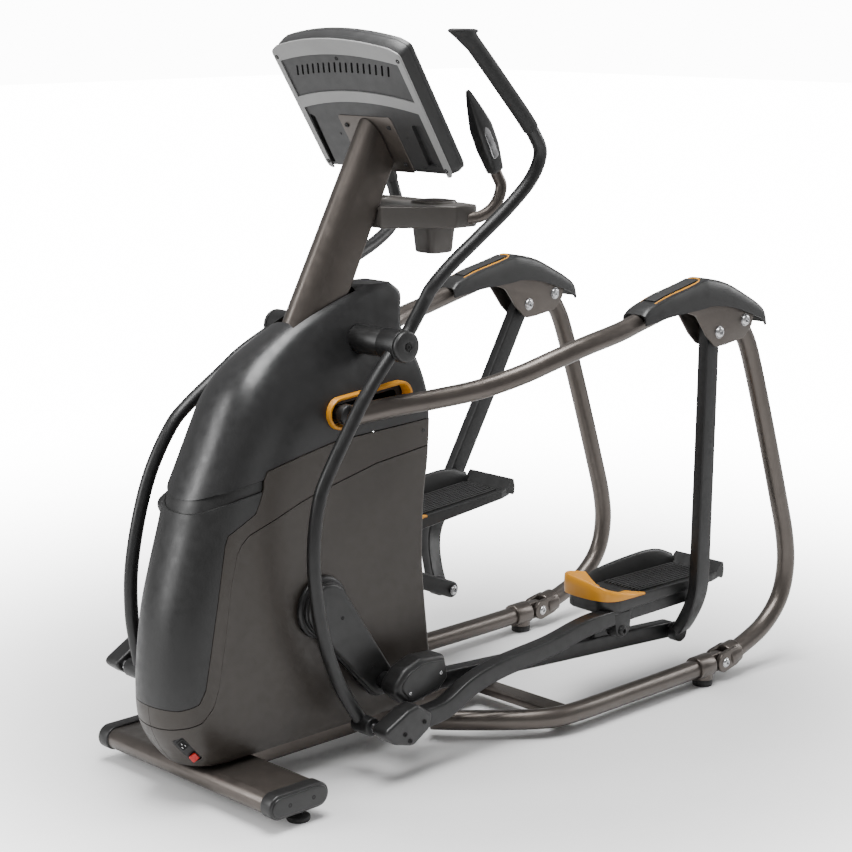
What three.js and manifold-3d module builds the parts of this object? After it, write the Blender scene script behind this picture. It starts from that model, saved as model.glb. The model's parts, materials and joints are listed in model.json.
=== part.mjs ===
// Elliptical trainer with a suspended, adjustable-incline stride. Millimetres, +Z up.
// -Y is the front of the machine (housing), +Y the rear, +X the user's left.
// The origin is on the floor, at the centre of the footprint.
import * as THREE from "three";
import { mergeVertices } from "three/addons/utils/BufferGeometryUtils.js";
import Module from "manifold-3d";

const wasm = await Module();
wasm.setup();

// ---------------------------------------------------------------- driving dimensions
const GAP = 0.4; // clearance between pieces that touch
const FOOTPRINT_SHIFT = 45.5; // brings the middle of the footprint to the origin

// Linkage pivots of the left side at rest, as [y, z] in the side view.
const CRANK_AXIS = [-598, 406];
const CRANK_PIN = [-434, 199];
const LINK_REAR = [536, 129];
const SWING_TOP = [532, 946];
const PEDAL_PIVOT = [268, 198];
const HANDLE_TOP = [-432, 1006];
const HANDLE_LOW = [-535, 126];
// Incline frame pivots.
const HOOP_LOW = [608, 52];
const HOOP_TOP = [637, 966];

// Distances of the moving planes from the middle of the machine.
const PANEL_X = 114; // outer face of the lower housing
const CRANK_X = [118, 146];
const LINK_X = [188, 228];
const ARM_X = [248, 288];
const HANDLE_X = 184;
const SWING_X = 330;
const RAIL_TUBE_R = 24;
const BASE_TUBE_R = 25;
const HANDLE_TUBE_R = 16;
const BOLT_R = 9;

// Housing levels: [z, front y, half width, rear y].
const LOWER_LEVELS = [
  [90, -944, 92, -240],
  [107, -959, 102, -240],
  [140, -982, 110, -240],
  [190, -1003, PANEL_X, -241],
  [260, -1008, PANEL_X, -248],
  [350, -1001, PANEL_X, -258],
  [450, -985, PANEL_X, -266],
  [540, -960, PANEL_X, -265],
  [620, -935, PANEL_X, -260],
  [700, -910, PANEL_X, -248],
  [830, -850, PANEL_X, -240],
];
const UPPER_LEVELS = [
  [680, -918, 113, -240],
  [760, -878, 111, -240],
  [840, -838, 110, -242],
  [890, -814, 105, -250],
  [940, -780, 92, -262],
  [980, -735, 77, -275],
  [1020, -668, 67, -290],
  [1060, -588, 61, -286],
  [1100, -480, 55, -282],
  [1124, -400, 46, -308],
];
const WALL = 4; // housing wall
const SEAM = [ // shroud's lower edge
  [-1100, 690], [-915, 692], [-875, 711], [-824, 723], [-757, 731], [-747, 749], [-652, 768],
  [-540, 788], [-180, 802],
];
const COVER_EDGE = [
  [-985, 238], [-948, 252], [-932, 282], [-910, 395], [-886, 516], [-870, 597], [-861, 621], [-839, 632],
  [-784, 658], [-771, 684], [-759, 713], [-750, 760],
];
const SLOT_FRONT = [-532, 850];
const SLOT_REAR = [-345, 864];
const SLOT_R = 30;
const SLOT_RIM = 10;

// ---------------------------------------------------------------- materials
const finish = (color, roughness, metalness) =>
  new THREE.MeshStandardMaterial({ color, roughness, metalness });
const BRONZE = () => finish(0x57504a, 0.38, 0.75);
const BLACK = () => finish(0x17181a, 0.45, 0.3);
const PLASTIC = () => finish(0x1c1e20, 0.5, 0.0);
const SHROUD = () => finish(0x26282b, 0.42, 0.0);
const PANEL = () => finish(0x403a34, 0.45, 0.1);
const YELLOW = () => finish(0xd29a26, 0.45, 0.0);
const STEEL = () => finish(0xb9bcc0, 0.3, 1.0);
const RUBBER = () => finish(0x141414, 0.85, 0.0);
const CONSOLE = () => finish(0x3a3d40, 0.5, 0.0);
const SCREEN = () => finish(0x0a0c10, 0.12, 0.0);
const RED = () => finish(0xb01818, 0.4, 0.0);

// ---------------------------------------------------------------- geometry helpers
const V = (x, y, z) => new THREE.Vector3(x, y, z);

/** Positions only, shared vertices merged. Booleans hand back merged meshes already. */
function plain(geometry) {
  const g = geometry.clone();
  if (geometry.userData.merged) return g;
  for (const key of ["normal", "uv"]) g.deleteAttribute(key);
  const merged = mergeVertices(g, 1e-3);
  merged.userData.merged = true;
  return merged;
}

/** Turns the triangles over when the closed mesh is inside out. */
function outward(geometry) {
  const g = plain(geometry);
  const p = g.attributes.position;
  const index = g.index.array;
  const [a, b, c] = [V(), V(), V()];
  let volume = 0;
  for (let i = 0; i < index.length; i += 3) {
    a.fromBufferAttribute(p, index[i]);
    b.fromBufferAttribute(p, index[i + 1]);
    c.fromBufferAttribute(p, index[i + 2]);
    volume += a.dot(b.cross(c));
  }
  if (volume < 0) {
    for (let i = 0; i < index.length; i += 3) {
      [index[i + 1], index[i + 2]] = [index[i + 2], index[i + 1]];
    }
  }
  return g;
}

function solid(geometry) {
  const g = outward(geometry);
  return new wasm.Manifold(new wasm.Mesh({
    numProp: 3,
    vertProperties: new Float32Array(g.attributes.position.array),
    triVerts: new Uint32Array(g.index.array),
  }));
}

function toGeometry(manifold) {
  const mesh = manifold.getMesh();
  const g = new THREE.BufferGeometry();
  g.setAttribute("position", new THREE.BufferAttribute(Float32Array.from(mesh.vertProperties), 3));
  g.setIndex([...mesh.triVerts]);
  g.userData.merged = true;
  return g;
}

const join = (...parts) => toGeometry(parts.map(solid).reduce((sum, p) => sum.add(p)));
const cut = (body, ...tools) => toGeometry(tools.reduce((rest, p) => rest.subtract(solid(p)), solid(body)));
const common = (body, tool) => toGeometry(solid(body).intersect(solid(tool)));

/** Mirror image across the middle plane. */
function mirrored(geometry) {
  const g = plain(geometry);
  g.applyMatrix4(new THREE.Matrix4().makeScale(-1, 1, 1));
  return outward(g);
}

/** A side-view outline [[y, z], ...] given thickness from x0 to x1. */
function prism(outline, x0, x1, holes = []) {
  const shape = new THREE.Shape(outline.map(([y, z]) => new THREE.Vector2(y, z)));
  for (const hole of holes) {
    shape.holes.push(new THREE.Path(hole.map(([y, z]) => new THREE.Vector2(y, z))));
  }
  const g = new THREE.ExtrudeGeometry(shape, { depth: x1 - x0, bevelEnabled: false });
  g.applyMatrix4(new THREE.Matrix4().set(0, 0, 1, x0, 1, 0, 0, 0, 0, 1, 0, 0, 0, 0, 0, 1));
  return outward(g);
}

/** Outline of a round-ended bar between two points, radii r0 and r1. */
function barOutline([y0, z0], [y1, z1], r0, r1 = r0, steps = 8) {
  const heading = Math.atan2(z1 - z0, y1 - y0);
  const points = [];
  for (let i = 0; i <= steps; i++) {
    const angle = heading - Math.PI / 2 + (Math.PI * i) / steps;
    points.push([y1 + r1 * Math.cos(angle), z1 + r1 * Math.sin(angle)]);
  }
  for (let i = 0; i <= steps; i++) {
    const angle = heading + Math.PI / 2 + (Math.PI * i) / steps;
    points.push([y0 + r0 * Math.cos(angle), z0 + r0 * Math.sin(angle)]);
  }
  return points;
}

const bar = (a, b, x0, x1, r0, r1) => prism(barOutline(a, b, r0, r1), x0, x1);

function circleOutline([y, z], r, sides = 24) {
  return Array.from({ length: sides }, (_, i) => {
    const angle = (2 * Math.PI * i) / sides;
    return [y + r * Math.cos(angle), z + r * Math.sin(angle)];
  });
}

/** Cylinder along X. */
const pinX = (centre, x0, x1, r, sides = 14) => prism(circleOutline(centre, r, sides), x0, x1);

function block(x0, x1, y0, y1, z0, z1) {
  const g = new THREE.BoxGeometry(x1 - x0, y1 - y0, z1 - z0);
  g.translate((x0 + x1) / 2, (y0 + y1) / 2, (z0 + z1) / 2);
  return g;
}

/** Upright turned piece at (x, y); profile is [[radius, z], ...] from axis to axis. */
function turned(x, y, profile, sides = 24) {
  const g = new THREE.LatheGeometry(profile.map(([r, z]) => new THREE.Vector2(r, z)), sides);
  g.rotateX(Math.PI / 2);
  g.translate(x, y, 0);
  return outward(g);
}

/** Rectangle for sweeping. */
function flatSection(w, d) {
  const corners = [[-w, -d], [w, -d], [w, d], [-w, d]];
  return new THREE.Shape(corners.map(([a, b]) => new THREE.Vector2(a, b)));
}

/** A section swept along a smooth path. */
function sweep(points, section, steps, tension = 0.5) {
  const path = new THREE.CatmullRomCurve3(points.map((p) => V(...p)), false, "catmullrom", tension);
  const g = new THREE.ExtrudeGeometry(section, { steps, bevelEnabled: false, extrudePath: path });
  return outward(g);
}

function roundSection(r, sides = 12) {
  return new THREE.Shape(circleOutline([0, 0], r, sides).map(([a, b]) => new THREE.Vector2(a, b)));
}

const tube = (points, r, steps = 24, sides = 12) => sweep(points, roundSection(r, sides), steps);

/** Closed skin through a rising stack of counter-clockwise rings with the same number of points. */
function loft(rings) {
  const n = rings[0].length;
  const position = rings.flat(2);
  const index = [];
  for (let r = 0; r + 1 < rings.length; r++) {
    for (let i = 0; i < n; i++) {
      const [a, b] = [r * n + i, r * n + ((i + 1) % n)];
      index.push(a, b, b + n, a, b + n, a + n);
    }
  }
  for (const [r, up] of [[0, false], [rings.length - 1, true]]) {
    const flat = rings[r].map(([x, y]) => new THREE.Vector2(x, y));
    for (const [a, b, c] of THREE.ShapeUtils.triangulateShape(flat, [])) {
      const ccw = !THREE.ShapeUtils.isClockWise([flat[a], flat[b], flat[c]]);
      const base = r * n;
      index.push(...(ccw === up ? [base + a, base + b, base + c] : [base + c, base + b, base + a]));
    }
  }
  const g = new THREE.BufferGeometry();
  g.setAttribute("position", new THREE.Float32BufferAttribute(position, 3));
  g.setIndex(index);
  return outward(g);
}

// ---------------------------------------------------------------- linkage
const sub = (p, q) => [p[0] - q[0], p[1] - q[1]];
const dist = (p, q) => Math.hypot(p[0] - q[0], p[1] - q[1]);
const heading = (p, q) => Math.atan2(q[1] - p[1], q[0] - p[0]);

function turn([y, z], angle) {
  const [c, s] = [Math.cos(angle), Math.sin(angle)];
  return [y * c - z * s, y * s + z * c];
}

/** Meeting point of two circles, on the given side of the line between their centres. */
function meet(c1, r1, c2, r2, side) {
  const d = dist(c1, c2);
  const along = (r1 * r1 - r2 * r2 + d * d) / (2 * d);
  const off = side * Math.sqrt(Math.max(r1 * r1 - along * along, 0));
  const [uy, uz] = [(c2[0] - c1[0]) / d, (c2[1] - c1[1]) / d];
  return [c1[0] + along * uy - off * uz, c1[1] + along * uz + off * uy];
}

/** Pivot places and turning angles (from rest of the left side) at a crank angle. */
function linkage(crank) {
  const pin = sub(CRANK_PIN, CRANK_AXIS);
  const [py, pz] = turn(pin, crank);
  const A = [CRANK_AXIS[0] + py, CRANK_AXIS[1] + pz];
  const B = meet(A, dist(CRANK_PIN, LINK_REAR), SWING_TOP, dist(SWING_TOP, LINK_REAR), -1);
  const link = heading(A, B) - heading(CRANK_PIN, LINK_REAR);
  const [qy, qz] = turn(sub(PEDAL_PIVOT, CRANK_PIN), link);
  const P = [A[0] + qy, A[1] + qz];
  const C = meet(P, dist(PEDAL_PIVOT, HANDLE_LOW), HANDLE_TOP, dist(HANDLE_TOP, HANDLE_LOW), 1);
  return {
    A, B, P, C, crank, link,
    swing: heading(SWING_TOP, B) - heading(SWING_TOP, LINK_REAR),
    arm: heading(P, C) - heading(PEDAL_PIVOT, HANDLE_LOW),
    handle: heading(HANDLE_TOP, C) - heading(HANDLE_TOP, HANDLE_LOW),
  };
}

// ---------------------------------------------------------------- model
const model = new THREE.Group();

/** Adds a piece already built in place. */
function add(name, geometry, material) {
  const mesh = new THREE.Mesh(outward(geometry), material);
  mesh.name = name;
  model.add(mesh);
  return mesh;
}

/** Adds a piece built in the left side's rest pose, carried to a pivot and turned. */
function addTurned(name, geometry, material, side, from, to, angle) {
  const g = plain(geometry);
  g.translate(0, -from[0], -from[1]);
  const mesh = new THREE.Mesh(side > 0 ? outward(g) : mirrored(g), material);
  mesh.name = name;
  mesh.position.set(0, to[0], to[1]);
  mesh.rotation.x = angle;
  model.add(mesh);
}

const SIDES = [["left", 1], ["right", -1]];
const onSide = (geometry, side) => (side > 0 ? geometry : mirrored(geometry));

// ---- base frame
const STAB_Y = -841;
const STAB_Z = 58;
const STAB_END = 316;
const STAB_HALF = 56; // centre of the rounded edge from the middle of the section
const STAB_R = 25;
const stabilizerOutline = barOutline([STAB_Y - STAB_HALF, STAB_Z], [STAB_Y + STAB_HALF, STAB_Z], STAB_R);
add("front_stabilizer", prism(stabilizerOutline, -STAB_END, STAB_END), BRONZE());

const CROSS_Y = [0, 62];
add("spine_beam", join(
  block(-38, 38, STAB_Y + STAB_HALF + STAB_R + 3, CROSS_Y[1], 34, 74),
  block(-318, 318, CROSS_Y[0], CROSS_Y[1], 34, 52),
), BRONZE());

const BASE_X = 330;
const LEVEL_X = 288; // levelling feet under the stabilizer
const LEVEL_Y = -820;
for (const [name, side] of SIDES) {
  const leg = [
    [120, -250, 47], [180, -196, 47], [270, -98, 47], [318, -24, 47], [BASE_X, 60, 47],
    [BASE_X, 200, 47], [BASE_X, 400, 48], [BASE_X, 520, 50],
  ];
  const base = cut(join(
    tube(leg, BASE_TUBE_R, 18, 10),
    tube([[BASE_X, 512, 50], [BASE_X, 545, 51], [BASE_X, 572, 51.5]], 31, 1, 14),
    bar([550, 51.5], HOOP_LOW, BASE_X - 11, BASE_X + 11, 24, 24),
  ), block(-400, 400, CROSS_Y[0] - GAP, CROSS_Y[1] + GAP, 30, 52 + GAP));
  add(`${name}_base_tube`, onSide(base, side), BRONZE());
  const foot = turned(BASE_X, 545, [[0, 0], [26, 0], [26, 14], [15, 20 - GAP], [0, 20 - GAP]], 20);
  add(`${name}_rear_foot`, onSide(foot, side), RUBBER());
  const footTop = STAB_Z - STAB_R - GAP;
  const footProfile = [[0, 0], [24, 0], [27, 4], [27, 12], [7, 18], [7, footTop], [0, footTop]];
  const level = turned(LEVEL_X, LEVEL_Y, footProfile, 16);
  add(`${name}_levelling_foot`, onSide(level, side), RUBBER());
}

// ---- housing shells
const NOSE_POINTS = 9;
const NOSE_DEPTH = 84;

/** Plan ring of the housing: straight sides, rounded nose, softened rear corners. */
function housingRing([z, front, half, rear], inset) {
  const [w, f, r] = [half - inset, front + inset, rear - inset];
  const depth = Math.min(NOSE_DEPTH, 0.6 * (r - f));
  const ring = [];
  for (let i = 0; i <= NOSE_POINTS; i++) {
    const angle = (Math.PI / 2) * (i / NOSE_POINTS);
    ring.push([w * Math.cos(angle) ** 0.62, f + depth * (1 - Math.sin(angle) ** 1.15), z]);
  }
  const left = [[w - 12, r, z], [w, r - 12, z], ...ring];
  const right = left.slice(0, -1).map(([x, y]) => [-x, y, z]).reverse();
  const all = [...left, ...right];
  return THREE.ShapeUtils.isClockWise(all.map(([x, y]) => new THREE.Vector2(x, y))) ? all.reverse() : all;
}

function housing(levels, inset) {
  return loft(levels.map((level, i) => {
    const ring = housingRing(level, inset);
    const last = i === levels.length - 1;
    return last && inset > 0 ? ring.map(([x, y, z]) => [x, y, z - inset]) : ring;
  }));
}

const far = 1400;
const belowSeam = [...SEAM.map(([y, z]) => [y, z - 1.5]), [-180, 0], [-1100, 0]];
const aboveSeam = [...SEAM, [-180, far], [-1100, far]];
const lowerShell = common(cut(housing(LOWER_LEVELS, 0), housing([
  [60, LOWER_LEVELS[0][1], 96, -240], ...LOWER_LEVELS, [900, -860, PANEL_X, -240]], WALL)),
prism(belowSeam, -200, 200));
const SEAM_GAP = 1.2;
const AHEAD = -1100; // in front of everything
const [coverLow, coverHigh] = [COVER_EDGE[0][1], COVER_EDGE[COVER_EDGE.length - 1][1]];
const frontRegion = [[AHEAD, coverLow], ...COVER_EDGE, [AHEAD, coverHigh]];
const edgeGap = COVER_EDGE.map(([y, z]) => [y + SEAM_GAP, z - SEAM_GAP]);
const panelRemoved = [[AHEAD - 2, coverLow - SEAM_GAP], ...edgeGap, [AHEAD - 2, coverHigh + 2]];
const frontCover = common(lowerShell, prism(frontRegion, -200, 200));
const axleHole = pinX(CRANK_AXIS, -200, 200, 34, 24);

// Power inlet: a slanted module let into the left flank of the nose. Drawn upright with its face
// towards -Y, then pitched, rolled and yawed into the flank.
const INLET = { at: [69.5, -956, 140], pitch: 6, roll: -38.4, yaw: 60.6, wide: 24, tall: 74, deep: 12 };
function onInlet(geometry) {
  const g = plain(geometry);
  g.rotateX(THREE.MathUtils.degToRad(INLET.pitch));
  g.rotateY(THREE.MathUtils.degToRad(INLET.roll));
  g.rotateZ(THREE.MathUtils.degToRad(INLET.yaw));
  g.translate(...INLET.at);
  return outward(g);
}
const [inletHalf, inletTall] = [INLET.wide / 2, INLET.tall / 2];
const [holeHalf, holeTall] = [inletHalf + 1, inletTall + 1];
const inletHole = onInlet(block(-holeHalf, holeHalf, -60, INLET.deep + 4, -holeTall, holeTall));
add("front_cover", frontCover, PLASTIC());
for (const [name, side] of SIDES) {
  let panel = cut(lowerShell, prism(panelRemoved, -200, 200), axleHole);
  panel = common(panel, block(GAP / 2, 200, -1100, 0, 0, 900));
  panel = onSide(panel, side);
  add(`${name}_side_panel`, side > 0 ? cut(panel, inletHole) : panel, PANEL());
}
add("power_inlet", onInlet(block(-inletHalf, inletHalf, 0, INLET.deep, -inletTall, inletTall)), PLASTIC());

const mastOutline = [[-633, 985], [-351.7, 1503.6], [-284, 1394.3], [-486, 985]];
const mastHole = [[-654, 960], [-374, 1475], [-282, 1384], [-485, 975]];
const slotHole = barOutline(SLOT_FRONT, SLOT_REAR, SLOT_R + SLOT_RIM - 3);
let shroud = common(cut(housing(UPPER_LEVELS, 0), housing([[640, -932, 112, -240], ...UPPER_LEVELS], WALL)),
  prism(aboveSeam, -200, 200));
const hubHole = pinX(HANDLE_TOP, -200, 200, 30, 24);
shroud = cut(shroud, prism(mastHole, -38, 38), prism(slotHole, -200, 200), hubHole);
add("upper_shroud", shroud, SHROUD());
for (const [name, side] of SIDES) {
  const ring = prism(barOutline(SLOT_FRONT, SLOT_REAR, SLOT_R + SLOT_RIM - 3 - GAP), 88, 122,
    [barOutline(SLOT_FRONT, SLOT_REAR, SLOT_R).reverse()]);
  add(`${name}_slot_ring`, onSide(ring, side), YELLOW());
}

// ---- mast, core frame, console
add("mast", prism(mastOutline, -35, 35), BRONZE());

const CORE_X = [54, 60];
const FLYWHEEL = [-376, 340];
const corePlate = [
  [-700, 84], [-500, 84], [-300, 84], [-300, 400], [-430, 900], [-440, 978], [-540, 978], [-700, 500],
];
const coreSlot = barOutline([SLOT_FRONT[0] - 4, SLOT_FRONT[1]], [SLOT_REAR[0] + 60, SLOT_REAR[1]], 22);
const coreFrame = cut(join(
  prism(corePlate, -CORE_X[1], -CORE_X[0]),
  prism(corePlate, CORE_X[0], CORE_X[1]),
  block(-CORE_X[1], CORE_X[1], -700, -300, 76, 84 + 0.01),
  block(-CORE_X[1], CORE_X[1], -540, -440, 960, 978),
  pinX(HANDLE_TOP, -CORE_X[1], CORE_X[1], 22, 20),
  bar([-470, 975], HANDLE_TOP, -CORE_X[1], -CORE_X[0], 22, 22),
  bar([-470, 975], HANDLE_TOP, CORE_X[0], CORE_X[1], 22, 22),
), pinX(CRANK_AXIS, -100, 100, 17.5), pinX(FLYWHEEL, -100, 100, 10.5), prism(coreSlot, -100, 100),
prism(mastHole, -38, 38), pinX(HANDLE_TOP, -100, 100, 12.5));
add("core_frame", coreFrame, BRONZE());

const CONSOLE_TILT = THREE.MathUtils.degToRad(31.8); // screen leans back from upright
const CONSOLE_FOOT = [-269, 1372]; // lower front edge of the back shell
const CONSOLE_H = 342;
const CONSOLE_W = 440;
const CONSOLE_T = 58;

/** Places a slab drawn flat: x across, y up the slope, z towards the user. */
function onConsole(geometry) {
  geometry.rotateX(Math.PI / 2 + CONSOLE_TILT);
  geometry.translate(0, CONSOLE_FOOT[0], CONSOLE_FOOT[1]);
  return outward(geometry);
}

function consoleShape(inset, arch) {
  const w = CONSOLE_W / 2 - inset;
  const h = CONSOLE_H - inset;
  const right = [[w * 0.955, inset], [w * 0.99, inset + 14], [w, h - 14], [w * 0.97, h]];
  const points = [[-w * 0.955, inset], ...right];
  for (let i = 1; i < 8; i++) {
    const t = 1 - (2 * i) / 8;
    points.push([w * 0.97 * t, h + arch * (1 - t * t)]);
  }
  points.push([-w * 0.97, h], [-w, h - 14], [-w * 0.99, inset + 14]);
  return new THREE.Shape(points.map(([x, y]) => new THREE.Vector2(x, y)));
}

function slab(shape, z0, z1) {
  const g = new THREE.ExtrudeGeometry(shape, { depth: z1 - z0, bevelEnabled: false });
  g.translate(0, 0, z0);
  g.scale(1, 1, -1);
  return outward(g);
}

add("console_shell", onConsole(slab(consoleShape(0, 30), 0, CONSOLE_T - 10)), CONSOLE());
add("console_display", onConsole(slab(consoleShape(4, 28), CONSOLE_T - 10 + GAP, CONSOLE_T)), SCREEN());

// ---- fixed handlebar with pulse grips, and tray with one cup
const FIXED_R = 14;
const fixedHalf = [
  [84, -266, 1268], [116, -240, 1268], [132, -202, 1268], [150, -174, 1269], [186, -148, 1278],
  [205, -122, 1305], [209, -108, 1345], [206, -122, 1378], [204, -160, 1460], [202, -205, 1556],
];
const fixedOther = fixedHalf.map(([x, y, z]) => [-x, y, z]).reverse();
const fixedPath = [...fixedOther, [0, -268, 1268], ...fixedHalf];
add("fixed_handlebar", tube(fixedPath, FIXED_R, 48, 8), BRONZE());

const CUP = { x: 68, y: -190, low: 1184, high: 1263, rLow: 39, rHigh: 47, wall: 3 };
const TRAY_Z = [1262, 1304];
const cupOuter = [[0, CUP.low], [CUP.rLow, CUP.low], [CUP.rHigh, CUP.high], [0, CUP.high]];
const wellLow = CUP.rLow - CUP.wall;
const wellHigh = CUP.rHigh - CUP.wall;
const cupWell = [[0, CUP.low + 4], [wellLow, CUP.low + 4], [wellHigh, CUP.high], [wellHigh, 1310], [0, 1310]];
const trayBody = join(
  block(-168, 168, -300, -132, ...TRAY_Z),
  block(-44, 44, -352, -299, ...TRAY_Z),
  turned(CUP.x, CUP.y, cupOuter, 24),
);
const mastSpace = [[-800, 985], [-485.5, 985], [-182, 1600], [-800, 1600]];
const tray = cut(trayBody,
  tube(fixedPath, FIXED_R + GAP, 48, 8),
  prism(mastSpace, -35 - GAP, 35 + GAP),
  turned(CUP.x, CUP.y, cupWell, 24));
add("accessory_tray", tray, CONSOLE());

// ---- drive
const axle = pinX(CRANK_AXIS, -CRANK_X[1] + 8, CRANK_X[1] - 8, 17, 24);
add("crank_axle", axle, STEEL());
const PULLEY_X = [-22, -6];
const PULLEY_R = 150;
add("drive_pulley", prism(circleOutline(CRANK_AXIS, PULLEY_R, 48), ...PULLEY_X,
  [circleOutline(CRANK_AXIS, 17 + GAP, 24).reverse()]), PLASTIC());
const SMALL_R = 30;
add("flywheel", join(
  pinX(FLYWHEEL, 4, 40, 112, 48),
  pinX(FLYWHEEL, PULLEY_X[0], 4.01, SMALL_R, 32),
  pinX(FLYWHEEL, -CORE_X[1] - 6, CORE_X[1] + 6, 10, 20),
), STEEL());
const BELT = 4;

/** Outline of a belt round two pulleys, with tangent runs. */
function beltOutline(extra) {
  const [r0, r1] = [PULLEY_R + extra, SMALL_R + extra];
  const d = dist(CRANK_AXIS, FLYWHEEL);
  const base = heading(CRANK_AXIS, FLYWHEEL);
  const lean = Math.acos((r0 - r1) / d);
  const points = [];
  const arcs = [
    [FLYWHEEL, r1, base - lean, base + lean],
    [CRANK_AXIS, r0, base + lean, base + 2 * Math.PI - lean],
  ];
  for (const [[y, z], r, from, to] of arcs) {
    const steps = r === r1 ? 12 : 40;
    for (let i = 0; i <= steps; i++) {
      const angle = from + ((to - from) * i) / steps;
      points.push([y + r * Math.cos(angle), z + r * Math.sin(angle)]);
    }
  }
  return points;
}
const belt = prism(beltOutline(GAP + BELT), PULLEY_X[0] + 2, PULLEY_X[1] - 2, [beltOutline(GAP).reverse()]);
add("drive_belt", belt, RUBBER());

// ---- incline drive: a lead screw along the slot carries the cross shaft
const slotLine = heading(SLOT_FRONT, SLOT_REAR);
const alongSlot = (t) => [SLOT_FRONT[0] + t * Math.cos(slotLine), SLOT_FRONT[1] + t * Math.sin(slotLine)];
const SCREW_R = 8;
const SHAFT_R = 11; // cross shaft carrying the front ends of the rails
const RAIL_PLAY = 5.5; // room for the rail's end to leave the slot line at mid travel
const screw = (r) => bar(alongSlot(-100), alongSlot(262), -r, r, r, r);
add("incline_carriage", cut(join(
  pinX(SLOT_FRONT, -150, 150, SHAFT_R, 20),
  bar(alongSlot(-14), alongSlot(14), -40, 40, 19, 19),
), screw(SCREW_R + GAP)), STEEL());
add("incline_motor", join(bar(alongSlot(-150), alongSlot(-95), -30, 30, 30, 30), screw(SCREW_R)), BLACK());

// ---- power switch, rocking clear of the inlet's face
const ROCKER_GAP = 1.6;
const ROCKER = { half: 9, thick: 6, at: -24 };
const rocker = block(
  -ROCKER.half, ROCKER.half,
  -ROCKER_GAP - ROCKER.thick, -ROCKER_GAP,
  ROCKER.at - ROCKER.half, ROCKER.at + ROCKER.half,
);
add("power_switch", onInlet(rocker), RED());

// ---- left and right running gear
const PHASE = { left: 0, right: Math.PI };
const PEDAL_X = [124, 292];

/** Mirror image across the middle of the pedal. */
function acrossPedal(geometry) {
  const g = mirrored(geometry);
  g.translate(PEDAL_X[0] + PEDAL_X[1], 0, 0);
  return g;
}

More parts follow.
